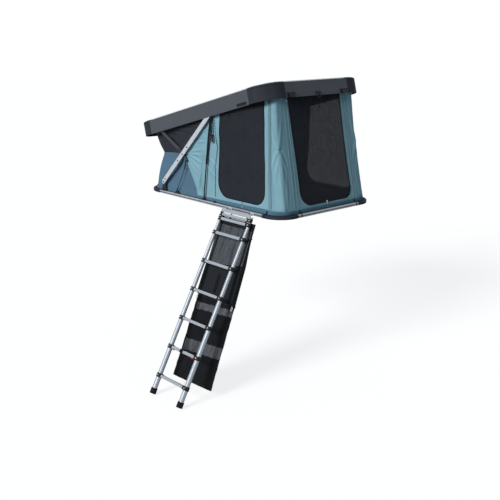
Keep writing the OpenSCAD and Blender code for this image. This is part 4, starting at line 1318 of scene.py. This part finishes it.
STRAP_WIDE, STRAP_NARROW, STRAP_SHORT = 0.027, 0.018, 0.014
STRAP_THICK, STRAP_CROWN = 0.0018, 0.0005
BUCKLE_LEAN, BUCKLE_OUT = math.radians(-6), 0.007
BUCKLE_BAR, BUCKLE_BARS = (0.038, 0.009, 0.014), (-0.031, -0.008, 0.031)
BUCKLE_POST, BUCKLE_POSTS = (0.009, 0.008, 0.074), (-0.0155, 0.0155)


def strap_line(points, y):
    line = relaxed(sampled(points, 0.02), 4)
    return np.stack([line[:, 0], np.full(len(line), y), line[:, 1]], 1)


for label, side in SIDES:
    strap = Build()
    y = side * STRAP_Y
    out = (0.0, side, 0.0)
    line = strap_line(STRAP_LINE, y)
    line[:, 1] += 0.0012 * np.sin(np.linspace(0, 19, len(line)))
    step = int((line[:, 2] > STRAP_STEP_Z).sum())
    strap.ribbon(line[:step + 1], out, STRAP_WIDE, STRAP_THICK, STRAP_CROWN)
    strap.ribbon(line[step:], out, STRAP_NARROW, STRAP_THICK, STRAP_CROWN)
    short = strap_line([(STRAP_LINE[0][0] + 0.012, STRAP_LINE[0][1]), STRAP_KNEE], y + side * 0.0026)
    strap.ribbon(short, out, STRAP_SHORT, 0.0016, 0.0004)
    buckle = (Matrix.Translation((STRAP_KNEE[0], y + side * BUCKLE_OUT, STRAP_KNEE[1]))
              @ Matrix.Rotation(BUCKLE_LEAN, 4, "Y"))
    for dz in BUCKLE_BARS:
        strap.box(BUCKLE_BAR, 0.002, buckle @ Matrix.Translation((0, 0, dz)), mat=1)
    for dx in BUCKLE_POSTS:
        strap.box(BUCKLE_POST, 0.0018, buckle @ Matrix.Translation((dx, 0, 0)), mat=1)
    obj = strap.piece("closing_strap_" + label, [m_webbing, m_black], "base", "black_webbing")
    if side < 0:
        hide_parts("closing_straps")
    folded(obj)

# Mattress: quilted pad with piping round its top

PAD_R, PAD_SIDE, PAD_CROWN, PAD_ROLL, PAD_ROWS = 0.12, 0.028, 0.020, 0.05, 5
QUILT, QUILT_H = 0.19, 0.004


def mattress():
    low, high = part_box("mattress")
    lx, ly = high.x - low.x, high.y - low.y
    ex, ey = lx / 2 - PAD_R, ly / 2 - PAD_R
    nx, ny = 130, 82
    verts, uv = [], []
    for j in range(ny + 1):
        for i in range(nx + 1):
            a, b = 2 * i / nx - 1, 2 * j / ny - 1
            x, y = a * lx / 2, b * ly / 2
            if abs(x) > ex and abs(y) > ey:
                dx, dy = abs(x) - ex, abs(y) - ey
                k = max(dx, dy) / math.hypot(dx, dy)
                x = math.copysign(ex + dx * k, x)
                y = math.copysign(ey + dy * k, y)
            roll = min(1.0, (1 - max(abs(a), abs(b))) / PAD_ROLL)
            crown = math.sqrt(max(0.0, 1 - (1 - roll) ** 2))
            quilt = QUILT_H * math.sqrt(abs(math.sin(math.pi * x / QUILT) * math.sin(math.pi * y / QUILT)))
            verts.append((x, y, low.z + PAD_SIDE + PAD_CROWN * crown + quilt * roll))
            uv.append((x, y))
    m = nx + 1
    rim = (list(range(nx + 1)) + [j * m + nx for j in range(1, ny + 1)]
           + [ny * m + i for i in range(nx - 1, -1, -1)] + [j * m for j in range(ny - 1, 0, -1)])
    ring = [verts[i] for i in rim]
    sides = [(x * (1 + 0.006 * math.sin(math.pi * k / PAD_ROWS)), y, low.z + PAD_SIDE * (1 - k / PAD_ROWS))
             for k in range(PAD_ROWS + 1) for x, y, z in ring]
    shape = (PAD_ROWS + 1, len(ring))
    build = Build().add(verts, grid_faces(ny + 1, m), uv)
    build.add(sides, [f[::-1] for f in grid_faces(*shape, wrap=True) + end_faces(*shape)[1:]])
    obj = build.piece("mattress_pad", [m_foam], "base", "foam_cover", PAD_SMOOTH)
    Build().tube(ring + ring[:1], 0.0035).piece("mattress_piping", [m_dark_tape], "base", "foam_cover")
    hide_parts("mattress")


mattress()

# Rigid parts: the CAD solids with rounded edges and their finish, as (nodes, material, slot, edge, segments)

RIGID = [
    ("base_rail_left base_rail_right", m_silver, "silver_aluminium", 0.0006, 2),
    ("base_rail_front base_rail_rear", m_silver_y, "silver_aluminium", 0.0006, 2),
    ("lid_rail_left lid_rail_right", m_graphite, "graphite_aluminium", 0.0006, 2),
    ("lid_rail_front lid_rail_rear", m_graphite_y, "graphite_aluminium", 0.0006, 2),
    ("base_corners", m_corner, "black_plastic", 0.0016, 3),
    ("lid_corners", m_corner, "black_plastic", 0.0020, 3),
    ("lid_panel", m_panel, "silver_aluminium", 0.0008, 2),
    ("main_arms", m_silver, "silver_aluminium", 0.0010, 2),
    ("link_arms", m_link, "graphite_aluminium", 0.0010, 2),
    ("slide_shoes", m_black, "black_plastic", 0.0012, 2),
    ("lid_tracks", m_graphite, "graphite_aluminium", 0.0006, 2),
    ("link_brackets", m_link, "graphite_aluminium", 0.0008, 2),
    ("arm_feet", m_black, "black_plastic", 0.0012, 2),
    ("base_anchors", m_black, "black_plastic", 0.0014, 2),
    ("latch_plates", m_black, "black_plastic", 0.0015, 3),
    ("latch_lever_left latch_lever_right", m_black, "black_plastic", 0.0014, 3),
    ("pull_loop", m_black, "black_plastic", 0.0012, 2),
    ("side_grips", m_black, "black_plastic", 0.0018, 3),
    ("base_floor", m_board, "floor_board", 0.0008, 2),
    ("mount_channels", m_silver, "silver_aluminium", 0.0005, 2),
    ("crossbar_clamps", m_black, "black_plastic", 0.0018, 3),
    ("clamp_bolts", m_steel, "steel", 0.0006, 2),
    ("ladder_lugs", m_silver, "silver_aluminium", 0.0012, 2),
    ("ladder_hook", m_tube, "silver_aluminium", 0.0008, 2),
    ("ladder_feet", m_rubber_and_painted_shade, "rubber", 0.0016, 3),
    ("release_button_left release_button_right", m_red, "red_plastic", 0.0016, 3),
]
for k in range(1, 9):
    RIGID.append(("ladder_section_%d" % k, m_tube, "silver_aluminium", 0.0005, 2))
    RIGID.append(("ladder_collars_%d" % k, m_black, "black_plastic", 0.0014, 2))
for nodes, material, slot, edge, segments in RIGID:
    for node in nodes.split():
        dress(node, material, edge, segments)

# Rail shade strips: dark strips in the slots of the base rails, painted shade in the slots, and a dark strip
# under the skirt, a painted shadow gap

SLOTS = ((0.007, 0.0019, 0.0018), (0.015, 0.0078, 0.0030), (0.023, 0.0019, 0.0018))
SHADE_STRIP_THICK, SHADE_STRIP_PLAY = 0.0012, 0.001


def rail_shade_strips():
    shade_strips = Build()
    for node in ("base_rail_left", "base_rail_right", "base_rail_front", "base_rail_rear"):
        low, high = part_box(node)
        middle, size = (low + high) / 2, high - low
        for z, tall, depth in SLOTS:
            if size.x > size.y:
                shade_strip = (size.x - SHADE_STRIP_PLAY, SHADE_STRIP_THICK, tall)
                place = (middle.x, math.copysign(HALF_W - depth, middle.y), z)
            else:
                shade_strip = (SHADE_STRIP_THICK, size.y - SHADE_STRIP_PLAY, tall)
                place = (math.copysign(HALF_L - depth, middle.x), middle.y, z)
            shade_strips.box(shade_strip, 0.0002, Matrix.Translation(place), 1)
    # Dark strip under the skirt's foot: painted shadow gap between the skirt and the rail.
    line = [(x, y, RAIL_TOP + SKIRT_LIFT) for x, y in skirt_line(SKIRT_OUT - 0.008)]
    shade_strips.ribbon(line, (0, 0, 1), 0.012, 0.0014, closed=True)
    shade_strips.piece("rail_shade_strips", [m_rubber_and_painted_shade], "base", "rubber")


rail_shade_strips()

# Lid corner grooves: a thin dark strip near the top of each moulded corner, painted shade of a groove line
# that the corner's shape lacks

LID_R, LID_SKIN, LID_LINE_W = 0.2, 0.0021, 0.130


def corner_painted_groove_shade():
    lines = Build()
    r = LID_R + LID_SKIN
    turns = np.linspace(0.0, math.pi / 2, 15)
    for sx, sy in ((-1, -1), (-1, 1), (1, -1), (1, 1)):
        round_corner = [(sx * math.cos(a), sy * math.sin(a)) for a in turns]
        middle = Vector((sx * (HALF_L - LID_R) - HALF_L, sy * (HALF_W - LID_R), LID_LINE_W))
        line = [IN_LID @ (middle + Vector((r * x, r * y, 0))) for x, y in round_corner]
        face = [IN_LID.to_3x3() @ Vector((x, y, 0)) for x, y in round_corner]
        lines.ribbon(line, face, 0.003, 0.0006)
    lines.piece("lid_corner_painted_groove_shade", [m_rubber_and_painted_shade], "lid", "black_plastic")


corner_painted_groove_shade()

# Lid lining

LINING_W, LINING_INSET, LINING_SAG, TUFT = 0.1335, 0.06, 0.006, 0.0012


def headliner():
    nx, ny = 60, 40
    verts, uv = [], []
    half_x, half_y = HALF_L - LINING_INSET, HALF_W - LINING_INSET
    for j in range(ny + 1):
        for i in range(nx + 1):
            a, b = 2 * i / nx - 1, 2 * j / ny - 1
            x, y = a * half_x, b * half_y
            tuft = TUFT * math.sin(17 * x) * math.sin(15 * y)
            w = LINING_W - LINING_SAG * (1 - a * a) * (1 - b * b) + tuft
            verts.append(IN_LID @ Vector((x - HALF_L, y, w)))
            uv.append((x, y))
    build = Build().add(verts, grid_faces(ny + 1, nx + 1, flip=True), uv)
    obj = build.piece("lid_lining", [m_charcoal], "lid", "charcoal_canvas", CLOTH_SMOOTH)


headliner()

# Bolts in the ladder's collars, and dark rivet heads on the bosses of the main arms

RIVETS = (0.047, 0.364, 0.477, 0.589)
RIVET_R, RIVET_H, BOLT_R, BOLT_H = 0.0085, 0.0013, 0.0075, 0.004

for k in range(8):
    bolts = Build()
    for x in (STILE_X, STILE_X + STILE_GAP):
        place = ON_LADDER @ Matrix.Translation((x, -TUBE_D[k] / 2 - 0.0046, RUNG_Z[k]))
        bolts.add(*domed_head(BOLT_R, BOLT_H, place @ Matrix.Rotation(math.pi / 2, 4, "X"), socket=0.45))
    bolts.piece("collar_bolts_%d" % (k + 1), [m_steel], "ladder_%d" % (k + 1), "steel")

heads = Build()
for label, side in SIDES:
    for along in RIVETS:
        place = Matrix.Translation((FOOT_X + along * math.cos(ARM_ANGLE), side * (HALF_W - 0.0048),
                                    FOOT_Z + along * math.sin(ARM_ANGLE)))
        heads.add(*domed_head(RIVET_R, RIVET_H, place @ Matrix.Rotation(side * -math.pi / 2, 4, "X")))
heads.piece("arm_rivets", [m_rivet], "main_arms", "steel")

# Organiser: a hanging bag with a net upper half, and a panel with pockets below it

TWIST_AT, TWIST = [0.3, BAG_LOW, PANEL_LOW], [0.0, PANEL_TURN * 0.6, PANEL_TURN * 1.3]
NET_TOP, NET_LOW, NET_SLOPE = 0.145, 0.572, 0.075
STRIP_SLOPE, BAG_EASE = 0.036, 0.022
STRIP_X, STRIPS = (0.02, BAG_W - 0.008), ((0.934, 1.002), (1.305, 1.417))
BAG_SQUARE_X, BAG_SQUARE_Y, NET_MARGIN = 0.26, 0.40, 0.012
BACK_AT, BACK = [0.08, 0.21, 0.33, 0.49, 0.89], [-0.014, -0.010, 0.004, 0.028, 0.034]


def bag_point(x, y, d):
    """Point of the organiser: x across, y into it, d down from its top edge; it twists lower down."""
    a = math.radians(np.interp(d, TWIST_AT, TWIST))
    cos, sin = math.cos(a), math.sin(a)
    s = x - BAG_W / 2 - BAG_EASE * (1 - x / BAG_W)
    return ON_BAG @ Vector((BAG_W / 2 + s * cos - y * sin, y * cos + s * sin, -d))


def bag_back(d):
    return float(np.interp(d, BACK_AT, BACK))


def fade(value, low, high):
    return float(smooth_step(np.array((value - low) / (high - low))))


def net_edge(x):
    """Lower edge of the bag's net."""
    return NET_LOW - NET_SLOPE * x / BAG_W


def bag_front(x, d):
    """Front of the bag: deep drawn folds in the net, flatter canvas below."""
    s, edge = x / BAG_W, net_edge(x)
    net_part = fade(d, NET_TOP - 0.03, NET_TOP + 0.06) * (1 - fade(d, edge - 0.05, edge))
    folds = (0.009 + 0.0050 * math.sin(s * 30 + 2.4 * d) + 0.0035 * math.sin(s * 57 - 3 * d + 1)
             + 0.0020 * math.sin(s * 91 + 5 * d + 2))
    solid_part = fade(d, edge, edge + 0.06) * (1 - fade(d, BAG_LOW - 0.06, BAG_LOW))
    return net_part * folds + solid_part * (0.0022 * math.sin(s * 11 + 9 * d) - 0.002)


def bag_taper(d):
    return 1 - 0.5 * fade(d, BAG_LOW - 0.03, BAG_LOW)


def organiser_bag():
    rows, cols = 96, 128
    half = BAG_W / 2
    verts, uv, place = [], [], []
    for j in range(rows + 1):
        t = j / rows
        d = BAG_TOP + (BAG_LOW - BAG_TOP) * t
        deep = (bag_back(d) - BAG_FRONT) / 2 * bag_taper(d)
        for i in range(cols):
            cos, sin = math.cos(2 * math.pi * i / cols), math.sin(2 * math.pi * i / cols)
            px = math.copysign(abs(cos) ** BAG_SQUARE_X, cos)
            py = math.copysign(abs(sin) ** BAG_SQUARE_Y, sin)
            x = half + px * (half - 0.003 - 0.004 * math.sin(math.pi * t) * abs(sin))
            y = bag_back(d) - deep * (1 - py)
            if sin < 0:
                y -= sin * bag_front(x, d)
            verts.append(bag_point(x, max(y, BAG_FRONT), d))
            uv.append((x + (0 if sin < 0 else BAG_W + 0.1), -d))
            place.append((x, d, sin))
    net_faces, solid_faces = [], end_faces(rows + 1, cols)
    for f in grid_faces(rows + 1, cols, wrap=True):
        x, d, front = place[f[0]]
        inside = NET_MARGIN < x < BAG_W - NET_MARGIN
        is_net = inside and front < -0.05 and NET_TOP < d < net_edge(x)
        (net_faces if is_net else solid_faces).append(f)
    build = Build().add(verts, net_faces + solid_faces, uv)
    build.mats = [0] * len(net_faces) + [1] * len(solid_faces)
    obj = build.piece("organiser_bag_cloth", [m_bag_net_painted_streaks, m_bag], "ladder_1", "charcoal_canvas", PAD_SMOOTH)
    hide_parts("organiser_bag")


def front_depth(x, d):
    """Place of the bag's front face, for what is sewn on it."""
    return max(bag_back(d) - (bag_back(d) - BAG_FRONT) * bag_taper(d) + bag_front(x, d), BAG_FRONT)


def organiser_trim():
    trim = Build()
    out = ON_BAG.to_3x3() @ Vector((0, -1, 0))
    across = [0.014 + (BAG_W - 0.028) * k / 36 for k in range(37)]
    tapes = [([(x, NET_TOP) for x in across], 0.014, 0.0014, 0),
             ([(x, net_edge(x)) for x in across], 0.014, 0.0014, 0),
             ([(x, BAG_LOW - 0.028) for x in across], 0.010, 0.0014, 0),
             ([(0.225, 0.623 + 0.188 * k / 20) for k in range(21)], 0.034, 0.004, 1)]
    for points, width, thick, mat in tapes:
        line = [bag_point(x, front_depth(x, d) - 0.0006, d) for x, d in points]
        trim.ribbon(line, out, width, thick, 0.0006, mat=mat)
    for x in (0.010, BAG_W - 0.010):
        depths = np.linspace(BAG_TOP + 0.02, BAG_LOW - 0.03, 60)
        trim.tube([bag_point(x, front_depth(x, d) + 0.003, d) for d in depths], 0.0045)
    for x in (STILE_X + 0.096, STILE_X + STILE_GAP - 0.096):
        a = ON_LADDER @ Vector((x, 0.0335, 0.004))
        b = ON_BAG @ Vector((x - BAG_X, bag_back(BAG_TOP) - 0.006, -BAG_TOP - 0.012))
        face = (b - a).cross(Vector((1, 0, 0))).normalized()
        trim.ribbon(between(a, b, 10), face, 0.022, 0.0022, 0.0005, mat=1)
    for x in (0.012, BAG_W - 0.012):
        turns = np.linspace(0, 2 * math.pi, 17)
        loop = [bag_point(x + 0.008 * math.sin(a), -0.012, 0.905 + 0.020 * math.cos(a)) for a in turns]
        trim.tube(loop, 0.0028, mat=2)
    trim.piece("organiser_trim", [m_dark_tape, m_webbing, m_white], "ladder_1", "black_webbing")


organiser_bag()
organiser_trim()

POCKET_ROWS = ((1.005, 1.295), (1.42, 1.685))
POCKET_COLS = ((0.010, BAG_W / 2 - 0.006), (BAG_W / 2 + 0.006, BAG_W - 0.010))
POCKET_DEEP, PANEL_Y, PANEL_THICK = 0.016, 0.012, 0.0022


def pocket_bulge(x, d):
    for d0, d1 in POCKET_ROWS:
        for x0, x1 in POCKET_COLS:
            if d0 < d < d1 and x0 < x < x1:
                a, b = (x - x0) / (x1 - x0), (d - d0) / (d1 - d0)
                across, down = math.sin(math.pi * a), math.sin(math.pi * (0.15 + 0.85 * b))
                return POCKET_DEEP * across ** 0.6 * down ** 0.7
    return 0.0


def net_strip(x, d):
    level = d + STRIP_SLOPE * (x / BAG_W - 0.5)
    inside = STRIP_X[0] < x < STRIP_X[1]
    return inside and any(low < level < high for low, high in STRIPS)


def organiser_panel():
    """Panel with two rows of two pockets; net strips close the pockets' tops."""
    nx, nz = 72, 132
    top = BAG_LOW - 0.004
    tall = PANEL_LOW - top
    verts, uv = [], []
    for j in range(nz + 1):
        d = top + tall * j / nz
        for i in range(nx + 1):
            x = BAG_W * i / nx
            y = PANEL_Y - pocket_bulge(x, d)
            y += 0.0025 * math.sin(9 * x + 5 * d) + 0.002 * math.sin(26 * x - 3 * d)
            y += 0.0035 * math.sin(60 * x + 17 * d + 3 * math.sin(12 * d)) * math.sin(23 * d + 9 * x)
            if net_strip(x, d):
                y += 0.0022 * math.sin(x * 74 + 6 * d)
            verts.append(bag_point(x, y, d))
            uv.append((x, -d))
    build = Build().add(verts, grid_faces(nz + 1, nx + 1, flip=True), uv)
    build.mats = [int(net_strip(BAG_W * (i + 0.5) / nx, top + tall * (j + 0.5) / nz))
                  for j in range(nz) for i in range(nx)]
    obj = build.piece("organiser_panel_cloth", [m_pocket, m_bag_net_painted_streaks], "ladder_1", "charcoal_canvas",
                      PAD_SMOOTH)
    thicken(obj, PANEL_THICK, offset=0)
    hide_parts("organiser_panel")


organiser_panel()

LOOP_X, LOOP_HALF, LOOP_R = 0.498, 0.0145, 0.006
HOOK_D, HOOK_SAG = 0.215, 0.006


def ladder_straps():
    """A webbing loop round the seventh rung and a hook strap from the third rung's collar to the bag."""
    path = rounded_ring(RUNG_DEPTH / 2 + 0.002, LOOP_HALF, LOOP_R, 6)
    line = [ON_LADDER @ Vector((LOOP_X, y, RUNG_Z[6] + h)) for y, h in path]
    out = [(ON_LADDER.to_3x3() @ Vector((0, y, h))).normalized() for y, h in path]
    loop = Build().ribbon(line, out, 0.046, 0.0018, closed=True)
    loop.piece("rung_loop", [m_webbing], "ladder_7", "black_webbing")
    a = ON_LADDER @ Vector((STILE_X + STILE_GAP + 0.016, 0.031, RUNG_Z[2] + 0.004))
    b = bag_point(BAG_W - 0.004, bag_back(HOOK_D) - 0.004, HOOK_D)
    sag = [Vector((0, 0, HOOK_SAG * math.sin(math.pi * k / 10))) for k in range(11)]
    line = [p - drop for p, drop in zip(between(a, b, 10), sag)]
    face = (b - a).cross(Vector((0, 0, 1))).normalized()
    hook = Build().ribbon(line, face if face.x > 0 else -face, 0.016, 0.0018)
    hook.piece("collar_strap", [m_webbing], "ladder_1", "black_webbing")


ladder_straps()

# Light, floor and backdrop

SUN_ENERGY, SUN_ANGLE, SUN_FROM = 2.8, math.radians(22), (0.05, -0.86, 0.50)
SKY, SKY_STRENGTH = (0.80, 1.0, 1.13, 1), 0.25
FLOOR_HALF, FLOOR_GREY, FLOOR_GLOW = 40, (0.30, 0.30, 0.30, 1), (0.80, 0.80, 0.80, 1)


def seen_mix(tree, unseen, seen, output):
    """Shows one shader to the camera, also in reflections, and lights the part by the other."""
    rays = add_node(tree, "ShaderNodeLightPath").outputs
    level = rays["Is Camera Ray"]
    for kind in ("Is Glossy Ray", "Is Transmission Ray"):
        links = [(0, level), (1, rays[kind])]
        level = add_node(tree, "ShaderNodeMath", links, operation="MAXIMUM").outputs[0]
    links = [("Fac", level), (1, unseen.outputs[0]), (2, seen.outputs[0])]
    mix = add_node(tree, "ShaderNodeMixShader", links)
    add_node(tree, output, [("Surface", mix.outputs[0])])


def lights():
    key = link("key", bpy.data.lights.new("key", "SUN"))
    key.data.energy = SUN_ENERGY
    key.data.angle = SUN_ANGLE
    key.rotation_euler = Vector(SUN_FROM).to_track_quat("Z", "Y").to_euler()
    world = bpy.data.worlds.new("studio")
    bpy.context.scene.world = world
    world.use_nodes = True
    tree = world.node_tree
    tree.nodes.clear()
    dim = add_node(tree, "ShaderNodeBackground", Color=SKY, Strength=SKY_STRENGTH)
    white = add_node(tree, "ShaderNodeBackground", Color=(1, 1, 1, 1), Strength=1.0)
    seen_mix(tree, dim, white, "ShaderNodeOutputWorld")


def floor():
    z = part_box("ladder_feet")[0].z - 0.001
    corners = [(x * FLOOR_HALF, y * FLOOR_HALF, z) for x, y in ((-1, -1), (1, -1), (1, 1), (-1, 1))]
    mesh = bpy.data.meshes.new("floor")
    mesh.from_pydata(corners, [], [(0, 1, 2, 3)])
    material = bpy.data.materials.new("floor")
    material.use_nodes = True
    tree = material.node_tree
    tree.nodes.clear()
    diffuse = add_node(tree, "ShaderNodeBsdfDiffuse", Color=FLOOR_GREY)
    glow = add_node(tree, "ShaderNodeEmission", Color=FLOOR_GLOW)
    lit = add_node(tree, "ShaderNodeAddShader", [(0, diffuse.outputs[0]), (1, glow.outputs[0])])
    seen_mix(tree, diffuse, lit, "ShaderNodeOutputMaterial")
    mesh.materials.append(material)
    link("floor", mesh)


lights()
floor()
bpy.context.scene.view_settings.view_transform = "Standard"
